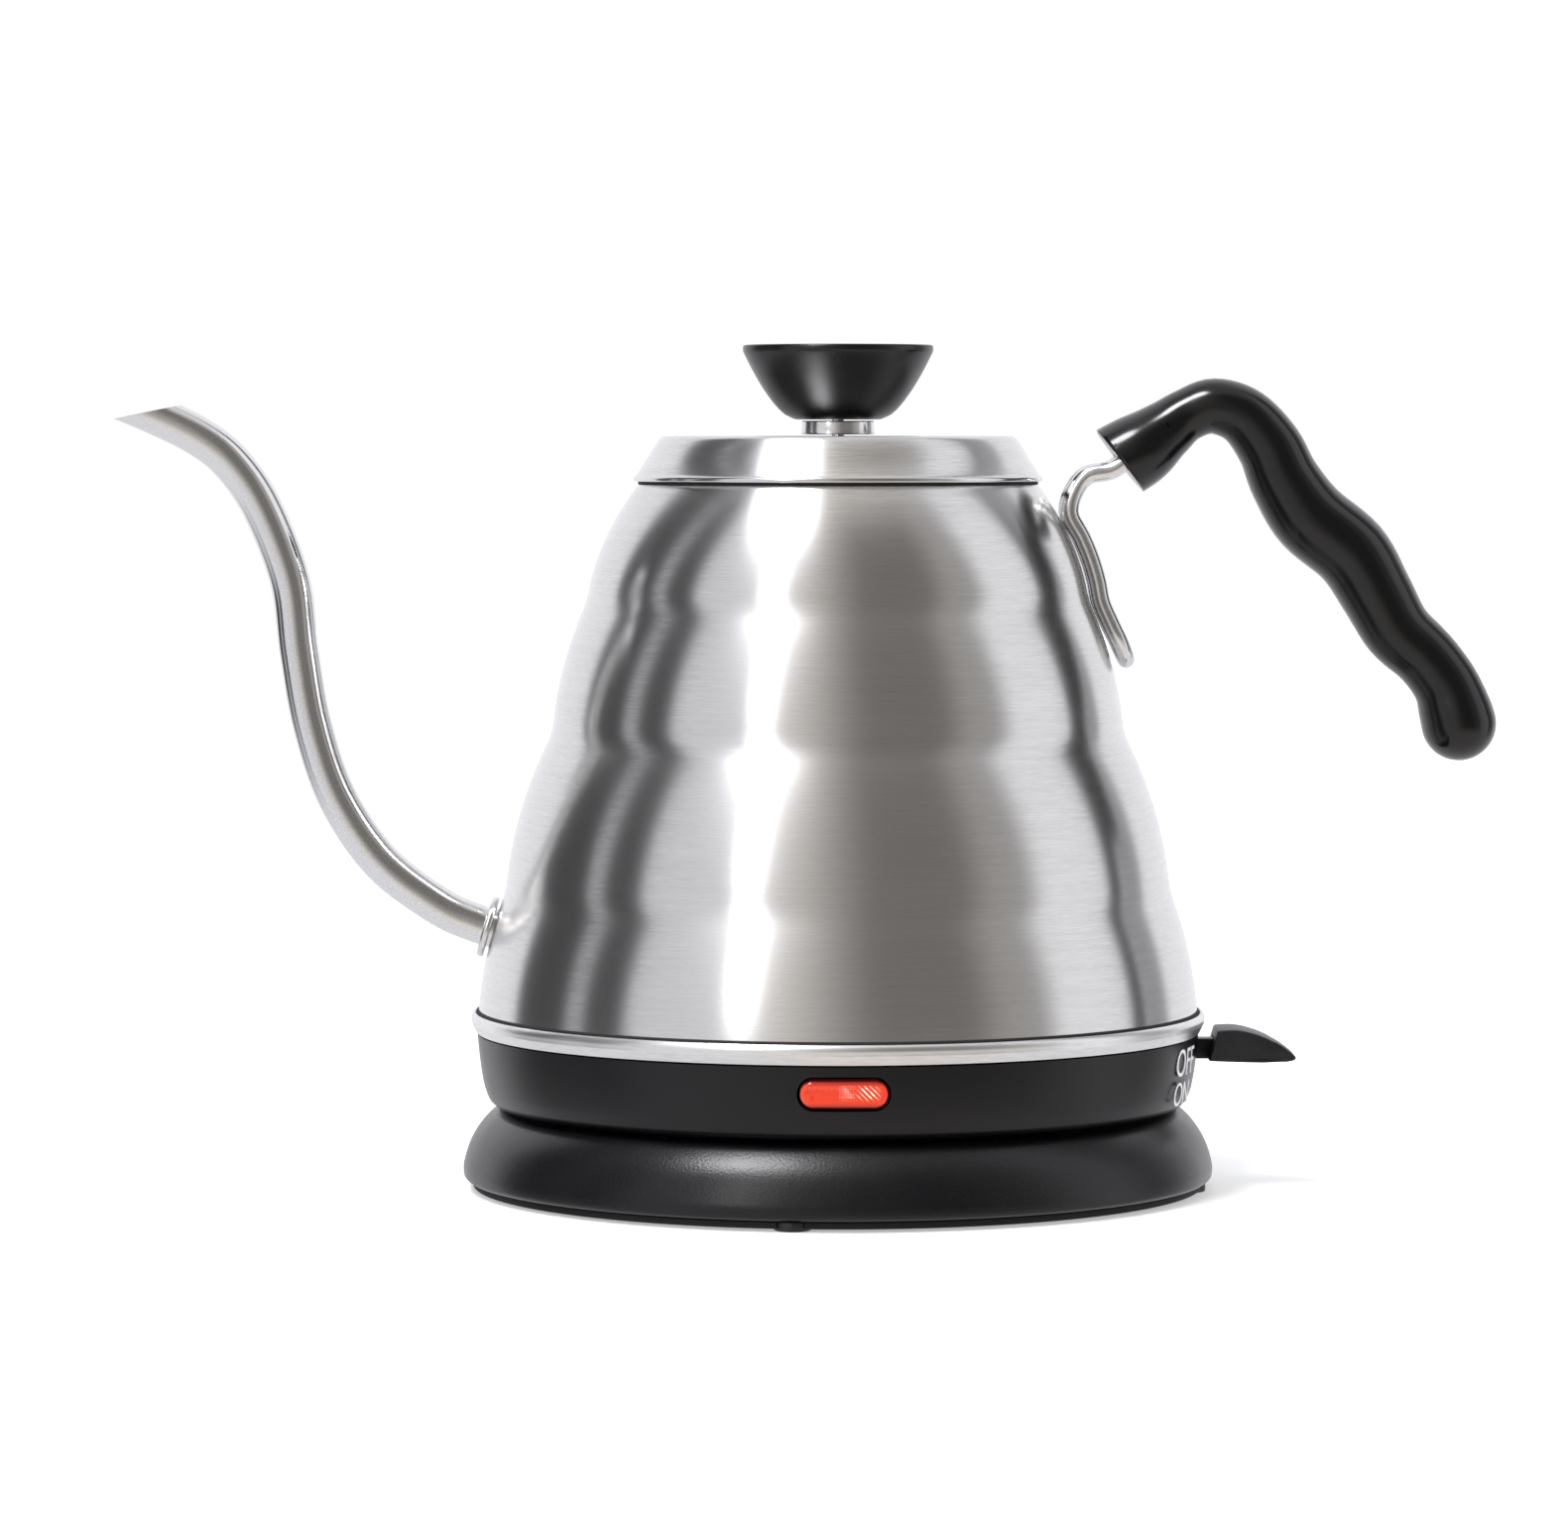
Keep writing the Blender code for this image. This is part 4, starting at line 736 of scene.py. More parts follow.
# %% [markdown]
# ## Lid gasket
# A thin rubber ring under the lid's edge keeps steel off steel, and it is what one sees as the dark
# line between lid and vessel. It is a plain square ring with softened corners, turned like the
# rest. It belongs to the lid, so it rises with it.

# %% Turn the gasket
gasket = lathe("lid_gasket", [
    (MOUTH_R - 1.1 * MM, MOUTH_Z + 0.06 * MM), (MOUTH_R + 0.1 * MM, MOUTH_Z + 0.06 * MM, 0.1 * MM),
    (MOUTH_R + 0.1 * MM, LID_Z + 0.5 * MM, 0.1 * MM), (MOUTH_R - 1.1 * MM, LID_Z + 0.5 * MM)], 128)
hand_over(gasket, "lid", "rubber_black", RUBBER)

# %% [markdown]
# ## Knob
# The knob is a shallow bowl: a flat top dished by half a millimetre, a thin rim, and a side that
# curves in to a narrow foot. It stands on a short bright ferrule, held by a screw from below.

# %% Turn the knob, its ferrule and its washer
knob_low, knob_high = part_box("knob")
KNOB_R = reach_of("knob")
FOOT_R = 9.4 * MM
bowl_h = knob_high.z - knob_low.z - 1.4 * MM
bowl = [(FOOT_R + (KNOB_R - FOOT_R) * (1 - k / 14) ** 0.62, knob_low.z + bowl_h * (1 - k / 14))
        for k in range(1, 14)]
knob = lathe("knob_bowl", [
    (0, knob_high.z - 0.7 * MM), (12 * MM, knob_high.z - 0.6 * MM, 3 * MM),
    (KNOB_R - 2.2 * MM, knob_high.z - 0.25 * MM, 1.2 * MM), (KNOB_R - 1.0 * MM, knob_high.z, 0.5 * MM),
    (KNOB_R - 0.05 * MM, knob_high.z - 0.15 * MM, 0.4 * MM), (KNOB_R, knob_low.z + bowl_h, 0.4 * MM),
    *bowl, (FOOT_R, knob_low.z, 0.5 * MM), (SCREW_BORE_R, knob_low.z), (SCREW_BORE_R, knob_low.z + 9 * MM),
    (0, knob_low.z + 9 * MM)], 128, closed=False)
hand_over(knob, "lid", "satin_black", KNOB_BLACK, "knob")

ferrule_low, ferrule_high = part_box("knob_ferrule")
ferrule_r = reach_of("knob_ferrule")
ferrule = lathe("knob_stand", [
    (SCREW_BORE_R, ferrule_high.z), (ferrule_r - 0.1 * MM, ferrule_high.z, 0.3 * MM),
    (ferrule_r, ferrule_low.z, 0.3 * MM), (SCREW_BORE_R, ferrule_low.z)], 96)
hand_over(ferrule, "lid", "polished_steel", STEEL_SMALL, "knob_ferrule")

washer_low, washer_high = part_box("knob_washer")
WASHER_R = 5.5 * MM
washer = lathe("knob_plain_washer", [
    (SCREW_BORE_R, washer_high.z), (WASHER_R, washer_high.z, 0.15 * MM),
    (WASHER_R, washer_low.z, 0.15 * MM), (SCREW_BORE_R, washer_low.z)], 48)
hand_over(washer, "lid", "polished_steel", STEEL_SMALL, "knob_washer")

# %% [markdown]
# ## Trim ring
# A bright ring hides the joint of steel and plastic. It has a rounded bead on top, where the
# vessel stands in it, a crease under the bead and a band that tapers in to the collar.

# %% Turn the trim ring
ring_low, ring_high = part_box("trim_ring")
COLLAR_R = reach_of("collar")
wall_r = sharp_radius(ring_high.z)
bead_r = wall_r + 1.8 * MM
bead_z = ring_high.z - 0.5 * MM
ring = lathe("steel_trim_ring", [
    (wall_r + 0.5 * MM, bead_z - 0.3 * MM), (wall_r + 0.9 * MM, bead_z, 0.3 * MM),
    (bead_r, bead_z - 0.9 * MM, 0.7 * MM), (bead_r - 0.25 * MM, bead_z - 2.1 * MM, 0.3 * MM),
    (COLLAR_R + 1.2 * MM, bead_z - 2.5 * MM, 0.5 * MM), (COLLAR_R + 0.2 * MM, ring_low.z, 0.2 * MM),
    (BODY_R - 1.6 * MM, ring_low.z), (BODY_R - 1.6 * MM, BODY_Z - 0.3 * MM),
    (BODY_R + 0.4 * MM, BODY_Z - 0.3 * MM)], 192)
STEEL_RING = brushed("brushed_steel_ring", 0.86, 0.34, (260, 260, 2200), 0.5)
hand_over(wrap(ring), "kettle", "polished_steel", STEEL_RING, "trim_ring")

# %% [markdown]
# Between the ring and the vessel runs a thin black seal that keeps drips out of the joint. Only its
# top edge shows, as a dark line, so it is a small turned ring that leans on the wall.

# %% Turn the seal
seal_r = sharp_radius(bead_z)
seal = lathe("vessel_seal", [
    (seal_r + 0.04 * MM, bead_z - 0.9 * MM), (seal_r + 0.45 * MM, bead_z - 0.9 * MM),
    (seal_r + 0.45 * MM, bead_z + 0.1 * MM, 0.1 * MM), (seal_r + 0.12 * MM, bead_z + 0.45 * MM, 0.1 * MM),
    (seal_r - 0.05 * MM, bead_z + 0.45 * MM)], 192)
hand_over(seal, "kettle", "rubber_black", RUBBER)

# %% [markdown]
# ## Collar
# The black collar carries the kettle's controls. It is a turned wall, a little narrower towards its
# foot, that curves inwards below and ends in a flat rim.

# %% Turn the collar
collar_low, collar_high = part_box("collar")
COLLAR_Z = collar_low.z
collar = lathe("collar_wall", [
    (COLLAR_R, collar_high.z, 0.3 * MM), (COLLAR_R - 0.7 * MM, COLLAR_Z + 7.2 * MM, 6 * MM),
    (COLLAR_R - 2.0 * MM, COLLAR_Z + 2.6 * MM, 1.5 * MM),
    (COLLAR_R - 2.9 * MM, COLLAR_Z + 0.9 * MM, 0.8 * MM),
    (COLLAR_R - 4.6 * MM, COLLAR_Z, 0.8 * MM), (COLLAR_R - 7.6 * MM, COLLAR_Z, 0.4 * MM),
    (COLLAR_R - 7.6 * MM, COLLAR_Z + 1.3 * MM, 0.4 * MM), (COLLAR_R - 5.4 * MM, COLLAR_Z + 1.3 * MM),
    (COLLAR_R - 4.0 * MM, COLLAR_Z + 4.0 * MM), (COLLAR_R - 3.0 * MM, COLLAR_Z + 7.2 * MM),
    (COLLAR_R - 2.4 * MM, collar_high.z, 0.3 * MM)], 192)
print("collar wall of", len(collar.data.polygons), "faces")

# %% [markdown]
# The collar has two openings: a long window for the lamp at the front and an upright slot for the
# switch at the right. Each is cut with a simple solid, a bar with round ends and a box. The slot is
# as tall as the lever's swing asks for.

# %% Cut the window and the slot


def stadium(name, width, height, depth, middle, rounding=0.0):
    """A flat bar with round ends in the XZ plane: a cylinder stretched by moving one half."""
    alone()
    bpy.ops.mesh.primitive_cylinder_add(vertices=48, radius=height / 2, depth=depth,
                                        rotation=(math.radians(90), 0, 0))
    piece = bpy.context.object
    piece.name = piece.data.name = name
    bpy.ops.object.transform_apply(location=True, rotation=True, scale=True)
    spread = width / 2 - height / 2
    for side in (-1, 1):
        pick(piece, "VERT", lambda co: co.x * side > TOUCH)
        bpy.ops.transform.translate(value=(side * spread, 0, 0))
    edit(piece)
    bpy.ops.transform.translate(value=middle)
    bpy.ops.object.mode_set(mode="OBJECT")
    return piece


lens_low, lens_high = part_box("lamp_lens")
lens_mid = (lens_low + lens_high) / 2
lens_w, lens_h = lens_high.x - lens_low.x, lens_high.z - lens_low.z
cut(collar, stadium("window_tool", lens_w + 0.6 * MM, lens_h + 0.6 * MM, 24 * MM,
                    (lens_mid.x, -COLLAR_R, lens_mid.z)))
PIVOT_INSET = 25 * MM
SWITCH_TURN = math.radians(17)
PIVOT = Vector((COLLAR_R - PIVOT_INSET, 0, COLLAR_Z + 12.1 * MM))
slot_low = PIVOT.z - (PIVOT_INSET * math.sin(SWITCH_TURN) + 3.2 * MM)
slot_high = PIVOT.z + 2.7 * MM
alone()
bpy.ops.mesh.primitive_cube_add(size=1, location=(COLLAR_R - 4 * MM, 0, (slot_low + slot_high) / 2),
                                scale=(16 * MM, 6.8 * MM, slot_high - slot_low))
cut(collar, bpy.context.object)
hand_over(clean(collar, 40), "kettle", "satin_black", COLLAR_BLACK, "collar")

# %% [markdown]
# ## Lamp
# The red lens sits just inside its window. Its rim is rounded, and its face is moulded into small
# slanting prisms that scatter the light of the neon lamp behind it. The prisms are real: the flat
# face is crossed by two sets of slanting cuts, and every other crossing is pushed in a little.

# %% Mould the lens
PRISM = 1.15 * MM
PRISM_LEAN = 0.8
PRISM_DEPTH = 0.34 * MM
lens = stadium("lamp_prism_lens", lens_w - 0.7 * MM, lens_h - 0.9 * MM, lens_high.y - lens_low.y, lens_mid)
pick(lens, "FACE", lambda f: f.normal.y < -0.9)
bpy.ops.mesh.bevel(offset=0.9 * MM, segments=4, affect="EDGES")
pick(lens, "FACE", lambda f: f.normal.y < -0.99)
bpy.ops.mesh.inset(thickness=0.25 * MM)
lines = int((lens_w + lens_h) / PRISM / 2) + 1
for lean in (PRISM_LEAN, -PRISM_LEAN):
    for k in range(-lines, lines + 1):
        inner = lens_h / 2 - 1.1 * MM
        pick(lens, "FACE", lambda f: f.normal.y < -0.99 and abs(f.center.z - lens_mid.z) < inner)
        bpy.ops.mesh.bisect(plane_co=(lens_mid.x + (k + 0.25) * PRISM, lens_mid.y, lens_mid.z),
                            plane_no=(1, 0, lean))


def on_lines(co, lean):
    """Which slanting line of the set a point lies on, or None."""
    k = (co.x - lens_mid.x + lean * (co.z - lens_mid.z)) / PRISM - 0.25
    return round(k) if abs(k - round(k)) < 0.01 else None


def crossing(co):
    """Whether a point of the face is an odd crossing of the two sets."""
    if co.y > lens_low.y + TOUCH:
        return False
    found = on_lines(co, PRISM_LEAN), on_lines(co, -PRISM_LEAN)
    return None not in found and sum(found) % 2 == 1


pushed = pick(lens, "VERT", crossing)
bpy.ops.transform.translate(value=(0, PRISM_DEPTH, 0))
bpy.ops.object.mode_set(mode="OBJECT")
print("prism points pushed in:", pushed)

# %% [markdown]
# The lamp is lit, so the lens glows red by itself. Its top and bottom edge are darker: a deeper red
# and painted shade of the window's rim and edge facets. At the middle and towards the right end,
# small pale glints are painted into its colour and glow as painted highlights. They follow the same
# slanting lines as the prisms: two sine waves along them, shown through soft windows and broken up
# by a little noise.

# %% Light the lens
LENS_RED, tree, shader = finish("lamp_red_lens", (0.6, 0.02, 0.012), 0.10, Coat_Weight=0.5,
                                Coat_Roughness=0.04)
spot = wire(tree, "ShaderNodeSeparateXYZ",
            {0: wire(tree, "ShaderNodeTexCoord").outputs["Object"]}).outputs
out = calc(tree, "SUBTRACT", spot["X"], lens_mid.x)
up = calc(tree, "SUBTRACT", spot["Z"], lens_mid.z)
ribs = calc(tree, "SINE", calc(tree, "MULTIPLY", calc(tree, "ADD", out, up), math.tau / PRISM))
studs = calc(tree, "SINE", calc(tree, "MULTIPLY", calc(tree, "SUBTRACT", out, up), math.tau / PRISM))
# Painted highlights: glint masks on the prism lines, towards the right end and at the middle.
right = calc(tree, "MULTIPLY", soft_step(tree, ribs, 0.45, 0.95),
             window(tree, out, 5.0 * MM, 2.0 * MM, 2.0 * MM))
centre = calc(tree, "MULTIPLY", soft_step(tree, calc(tree, "MULTIPLY", ribs, studs), 0.35, 0.9),
              window(tree, out, 0.6 * MM, 1.4 * MM, 1.6 * MM))
ends = window(tree, up, 0.3 * MM, 1.3 * MM, 1.0 * MM)
cells = soft_step(tree, grain(tree, (900, 900, 900), 2.0), 0.38, 0.62, 0.3, 1.0)
painted_glint = calc(tree, "MULTIPLY", calc(tree, "MULTIPLY", calc(tree, "MAXIMUM", right, centre), ends), cells)
# The darker red at the top and bottom edge is partly a deeper red, partly painted shade of the window's
# rim.
edge_red_and_painted_shade, high_red = (0.22, 0.005, 0.004), (0.62, 0.040, 0.014)
body = ramp(tree, calc(tree, "ABSOLUTE", up), 2.6 * MM, 1.7 * MM, edge_red_and_painted_shade, high_red)
# The painted glints turn the lens's colour and glow pale.
lamp_glow_with_painted_light = wire(tree, "ShaderNodeMix", {0: painted_glint, 6: body, 7: (1.0, 0.72, 0.5, 1)},
            data_type="RGBA").outputs[2]
tree.links.new(lamp_glow_with_painted_light, shader.inputs["Base Color"])
tree.links.new(lamp_glow_with_painted_light, shader.inputs["Emission Color"])
# The painted glints also glow brighter.
tree.links.new(ramp(tree, painted_glint, 0.0, 1.0, 0.28, 2.2), shader.inputs["Emission Strength"])
hand_over(clean(lens, 12), "kettle", "lamp_red", LENS_RED, "lamp_lens")

# %% [markdown]
# ## Switch marks
# Beside the slot two plain words are printed in white, for the switch up and for the switch down.
# Type is set flat, made a mesh, and then each corner is wound onto the collar's wall.

# %% Print the switch marks
PRINT_WHITE, tree, shader = finish("printed_white", (0.72, 0.73, 0.75), 0.5)
ink = grain(tree, (1500, 1500, 1500), 2.0)
tree.links.new(ramp(tree, ink, 0.3, 0.7, (0.75, 0.75, 0.78), (0.92, 0.93, 0.95)),
               shader.inputs["Base Color"])


def collar_radius(z):
    """Outside radius of the collar's wall at a height above its curved foot."""
    share = min(max((z - COLLAR_Z) / (collar_high.z - COLLAR_Z), 0), 1)
    return COLLAR_R - 0.72 * MM * (1 - share) ** 1.1 - 1.1 * MM * max(0, 0.35 - share)


def mark(name, word, turn, z, height):
    """A word wound onto the collar, its right end at that turn from the front."""
    alone()
    bpy.ops.object.text_add()
    text = bpy.context.object
    text.data.body = word
    text.data.size = height * 1.42
    text.data.shear = 0.12
    text.data.extrude = 0.04 * MM
    text.data.resolution_u = 6
    bpy.ops.object.convert(target="MESH")
    piece = bpy.context.object
    piece.name = piece.data.name = name
    right = max(v.co.x for v in piece.data.vertices)
    for v in piece.data.vertices:
        up = z + v.co.y - height / 2
        radius = collar_radius(up) + 0.02 * MM + v.co.z
        angle = turn + (v.co.x - right) / COLLAR_R
        v.co = (radius * math.sin(angle), -radius * math.cos(angle), up)
    clean(piece)
    return hand_over(piece, "kettle", "ceramic_white", PRINT_WHITE)


mark("mark_off", "OFF", math.radians(77.5), COLLAR_Z + 11.6 * MM, 5.9 * MM)
mark("mark_on", "ON", math.radians(74.5), COLLAR_Z + 4.9 * MM, 5.1 * MM)

# %% [markdown]
# ## Switch
# A black stem comes out of the slot and carries a leaf-shaped paddle. Both are flat outlines given
# a width: the outline is drawn, filled and extruded, and its edges are rounded with a bevel. The
# paddle gets narrower towards its tip, and a box cuts the pocket that the stem pushes into.

# %% Shape the paddle
def flat_piece(name, corners, width, rounding, segments=3):
    """An outline of (x, z) in the XZ plane, filled, extruded along Y and rounded."""
    piece = draw_line(name, [*corners, corners[0]])
    edit(piece)
    bpy.ops.mesh.remove_doubles(threshold=TOUCH)
    bpy.ops.mesh.select_all(action="SELECT")
    bpy.ops.mesh.edge_face_add()
    bpy.ops.mesh.extrude_region_move(TRANSFORM_OT_translate={"value": (0, width, 0)})
    bpy.ops.mesh.select_all(action="SELECT")
    bpy.ops.transform.translate(value=(0, -width / 2, 0))
    bpy.ops.mesh.normals_make_consistent(inside=False)
    bpy.ops.object.mode_set(mode="OBJECT")
    if rounding:
        alone(piece)
        step = piece.modifiers.new("round", "BEVEL")
        step.width = rounding
        step.segments = segments
        step.limit_method = "ANGLE"
        bpy.ops.object.modifier_apply(modifier=step.name)
    return clean(piece, 50)


PADDLE = ((27.0, -2.3), (29.0, 4.4), (33.4, 4.5), (38.2, 3.3), (42.6, 1.2), (46.0, -1.3),
          (46.2, -2.0), (44.0, -2.6), (36.0, -2.6))  # along and above the pivot, in mm
crown = smooth_route([PADDLE[k] for k in (1, 2, 3, 4, 5)], 4)
belly = smooth_route([PADDLE[k] for k in (6, 7, 8, 0)], 3)
leaf = [(PIVOT.x + x * MM, PIVOT.z + z * MM) for x, z in (*crown, *belly)]
paddle = flat_piece("switch_leaf", leaf, 15 * MM, 1.1 * MM, 4)
pick(paddle, "VERT", lambda co: co.x > PIVOT.x + 41 * MM)
bpy.ops.transform.resize(value=(1, 0.8, 1), orient_type="GLOBAL")
alone()
bpy.ops.mesh.primitive_cube_add(size=1, location=(PIVOT.x + 26.65 * MM, 0, PIVOT.z),
                                scale=(13.3 * MM, 6.2 * MM, 5.0 * MM))
cut(paddle, bpy.context.object)
hand_over(clean(paddle, 40), "switch", "charcoal", PADDLE_BLACK, "switch_paddle")

# %% [markdown]
# The stem rocks on a steel pin inside the collar. Its outline has a round eye about the pin, a short
# tail behind for the contact and a long arm in front for the paddle. The pin's hole is drilled a
# hair wider than the pin.

# %% Shape the stem
def eye(first, last):
    """Points of the stem's round eye, from one angle to another, in mm from the pivot."""
    return [(LEVER_EYE * math.cos(math.radians(a)), LEVER_EYE * math.sin(math.radians(a)))
            for a in range(first, last, 8)]


LEVER_EYE = 4.2
LEVER_BORE_R = 1.56 * MM
stem = [(33.0, 2.2), *eye(32, 161), (-9.5, 1.2), (-9.5, -0.8), *eye(192, 329), (33.0, -2.2)]
lever = flat_piece("switch_stem", [(PIVOT.x + x * MM, PIVOT.z + z * MM) for x, z in stem],
                   5.6 * MM, 0.35 * MM, 3)
drill(lever, LEVER_BORE_R, 12 * MM, PIVOT, lying=True)
hand_over(clean(lever, 40), "switch", "satin_black", COLLAR_BLACK, "switch_lever")

# %% [markdown]
# ## Grip
# The grip is one moulding that waves to fit the fingers. It is drawn as a bar whose thickness
# changes along the way, a little wider than tall, and closed at the far end by a round dome. Its
# front is sawn off at a slant, the edge of that cut is broken, and two bores take the bracket.

# %% Draw the grip
HANDLE_FACE = Vector((MOUTH_R + 18.1 * MM, 0, MOUTH_Z + 4.8 * MM))
FACE_SLOPE = math.radians(38)
INWARD = Vector((math.cos(FACE_SLOPE), 0, math.sin(FACE_SLOPE)))
HANDLE_ROUTE = ((-6.0, -3.0, 8.4), (0, 0.4, 8.4), (5.0, 3.4, 8.0), (10.0, 7.2, 6.6), (14.5, 10.4, 5.8),
                (20.3, 12.3, 6.1), (27.0, 10.0, 6.5), (32.5, 3.5, 7.2), (36.0, -4.0, 7.8),
                (41.5, -12.0, 8.5), (50.5, -19.6, 8.5), (56.0, -28.5, 8.0), (60.6, -36.5, 7.6),
                (66.8, -42.4, 7.2), (71.2, -48.3, 7.3), (73.3, -53.8, 8.0),
                (74.2, -57.0, 8.2))  # outwards, upwards, half thickness, in mm from the face
ROD_R = 2.0 * MM
ROD_SPREAD = 5.5 * MM
grip_line = smooth_route([(HANDLE_FACE.x + out * MM, 0, HANDLE_FACE.z + up * MM, half * MM)
                          for out, up, half in HANDLE_ROUTE], 6)
end = Vector(grip_line[-1][:3])
heading = (end - Vector(grip_line[-2][:3])).normalized()
end_r = grip_line[-1][3]
for angle in range(8, 89, 8):
    lean = math.radians(angle)
    grip_line.append((*(end + heading * end_r * math.sin(lean)), end_r * math.cos(lean)))
grip = bar("grip_moulding", grip_line, 1, 14)
settle(grip, Matrix.Diagonal((1, 1.2, 1, 1)))
alone()
bpy.ops.mesh.primitive_cube_add(size=1, location=(-15 * MM, 0, 0), scale=(30 * MM, 40 * MM, 50 * MM))
cut(grip, settle(bpy.context.object,
                 Matrix.Translation(HANDLE_FACE) @ Matrix.Rotation(-FACE_SLOPE, 4, "Y")))
pick(grip, "FACE", lambda f: f.normal.dot(INWARD) < -0.98 and (f.center - HANDLE_FACE).length < 5 * MM)
bpy.ops.mesh.bevel(offset=0.7 * MM, segments=4, affect="EDGES")
bpy.ops.object.mode_set(mode="OBJECT")
ALONG = INWARD.to_track_quat("Z", "Y").to_matrix().to_4x4()
for side in (-1, 1):
    drill(grip, ROD_R + 0.3 * MM, 18 * MM, (0, 0, 4 * MM), corners=40,
          turn=Matrix.Translation(HANDLE_FACE + Vector((0, side * ROD_SPREAD, 0))) @ ALONG)
hand_over(clean(grip, 45), "kettle", "gloss_black", GRIP_BLACK, "handle_grip")

# %% [markdown]
# ## Bracket
# One steel rod carries the grip. It comes down out of one bore, bends at the shoulder, lies along
# the vessel's wall where it is welded, turns round in a bend below and goes back up the same way.

# %% Bend the bracket
REACH = ROD_R + 0.45 * MM
weld_top, weld_foot = MOUTH_Z - 6.7 * MM, MOUTH_Z - 30.4 * MM
tail_z = weld_foot - 7.8 * MM
leg = [HANDLE_FACE + INWARD * 11.5 * MM, HANDLE_FACE + INWARD * 4 * MM, HANDLE_FACE - INWARD * 2.5 * MM]
elbow_r = sharp_radius(weld_top) + REACH
leg.append(Vector((elbow_r + 3.6 * MM, 0, weld_top + 8.6 * MM)))
leg.append(Vector((elbow_r + 0.6 * MM, 0, weld_top + 4.4 * MM)))
for k in range(6):
    z = weld_top + (weld_foot - weld_top) * k / 5
    leg.append(Vector((sharp_radius(z) + REACH, 0, z)))
tail_r = sharp_radius(tail_z) + REACH + 0.9 * MM
front_leg = [(p.x, -ROD_SPREAD, p.z, ROD_R) for p in leg]
bend = []
for k in range(1, 8):
    share = math.sin(math.pi * k / 8)
    z = weld_foot + (tail_z - weld_foot) * share
    bend.append((sharp_radius(z) + REACH + share * (tail_r - sharp_radius(tail_z) - REACH),
                 -ROD_SPREAD * math.cos(math.pi * k / 8), z, ROD_R))
rear_leg = [(x, ROD_SPREAD, z, radius) for x, _, z, radius in reversed(front_leg)]
bracket = bar("grip_bracket", [*front_leg, *bend, *rear_leg], 6, 10)
hand_over(bracket, "kettle", "polished_steel", STEEL_ROD, "handle_bracket")

# %% [markdown]
# ## Power base
# The base is a shallow shell with a soft shoulder and a lip that tucks in at the bottom. It is one
# turned outline again: the outside from the top edge down to the lip, then the inside back up to
# the round hole for the socket. A shallow ring in the top drains drops away from the socket.

# %% Turn the base
base_low, base_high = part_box("base_shell")
BASE_R, TOP, LIP = reach_of("base_shell"), base_high.z, base_low.z
TOP_R = BASE_R - 7.9 * MM
HOLE_R = 16.8 * MM
shoulder = smooth_route([
    (TOP_R, TOP), (BASE_R - 6.0 * MM, TOP - 1.1 * MM), (BASE_R - 3.8 * MM, TOP - 3.5 * MM),
    (BASE_R - 2.1 * MM, TOP - 6.1 * MM), (BASE_R - 0.9 * MM, TOP - 8.9 * MM),
    (BASE_R - 0.1 * MM, LIP + 3.4 * MM), (BASE_R, LIP + 1.9 * MM), (BASE_R - 0.2 * MM, LIP + 0.6 * MM),
    (BASE_R - 0.9 * MM, LIP)], 5)
base = lathe("base_moulding", [
    (HOLE_R, TOP), (62 * MM, TOP, 0.3 * MM), (62.5 * MM, TOP - 0.5 * MM, 0.3 * MM),
    (64.5 * MM, TOP - 0.5 * MM, 0.3 * MM), (65 * MM, TOP, 0.3 * MM), *shoulder,
    (BASE_R - 2.4 * MM, LIP), (BASE_R - 2.0 * MM, LIP + 2.0 * MM), (BASE_R - 3.9 * MM, TOP - 8.4 * MM),
    (BASE_R - 7.0 * MM, TOP - 4.4 * MM), (TOP_R - 1.0 * MM, TOP - 2.0 * MM),
    (HOLE_R, TOP - 2.0 * MM)], 192)
gland_low, gland_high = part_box("cord_gland")
GLAND = Vector((0, (gland_low.y + gland_high.y) / 2, (gland_low.z + gland_high.z) / 2))
GLAND_R = 5.5 * MM
drill(base, GLAND_R + 0.3 * MM, 24 * MM, GLAND, lying=True, corners=64)
hand_over(clean(base, 40), "power_base", "charcoal", BASE_BLACK, "base_shell")

# %% [markdown]
# ## Underside of the base
# A black plate closes the base from below. It is set back under the lip, so it shows as a dark
# band, and four small feet keep it off the table. One foot is made and copied three times round.

# %% Close the underside
pan_low, pan_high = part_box("base_bottom_plate")
pan_r = reach_of("base_bottom_plate")
pan_z = pan_low.z + 0.4 * MM
pan = lathe("base_underplate", [
    (0, pan_high.z), (pan_r, pan_high.z, 0.2 * MM), (pan_r, pan_z, 0.3 * MM), (66 * MM, pan_z, 0.2 * MM),
    (65.6 * MM, pan_z + 0.4 * MM, 0.2 * MM), (62.4 * MM, pan_z + 0.4 * MM, 0.2 * MM),
    (62 * MM, pan_z, 0.2 * MM), (12 * MM, pan_z), (12 * MM, pan_low.z, 0.15 * MM), (0, pan_low.z)],
    144, closed=False)
FOOT_PAD_R = 4.0 * MM
screws = [(55 * MM, math.tau * (k + 0.5) / 3) for k in range(3)]
foot_boxes = [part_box(f"foot_{k}") for k in range(1, 5)]
foot_mids = [(low + high) / 2 for low, high in foot_boxes]
bores = [(r * math.cos(turn), r * math.sin(turn), 3.3 * MM) for r, turn in screws]
bores += [(mid.x, mid.y, FOOT_PAD_R + 0.3 * MM) for mid in foot_mids]
for x, y, radius in bores:
    drill(pan, radius, 8 * MM, (x, y, pan_z))
drill(pan, GLAND_R + 0.3 * MM, 24 * MM, GLAND, lying=True, corners=64)
hand_over(clean(pan), "power_base", "rubber_black", RUBBER, "base_bottom_plate")

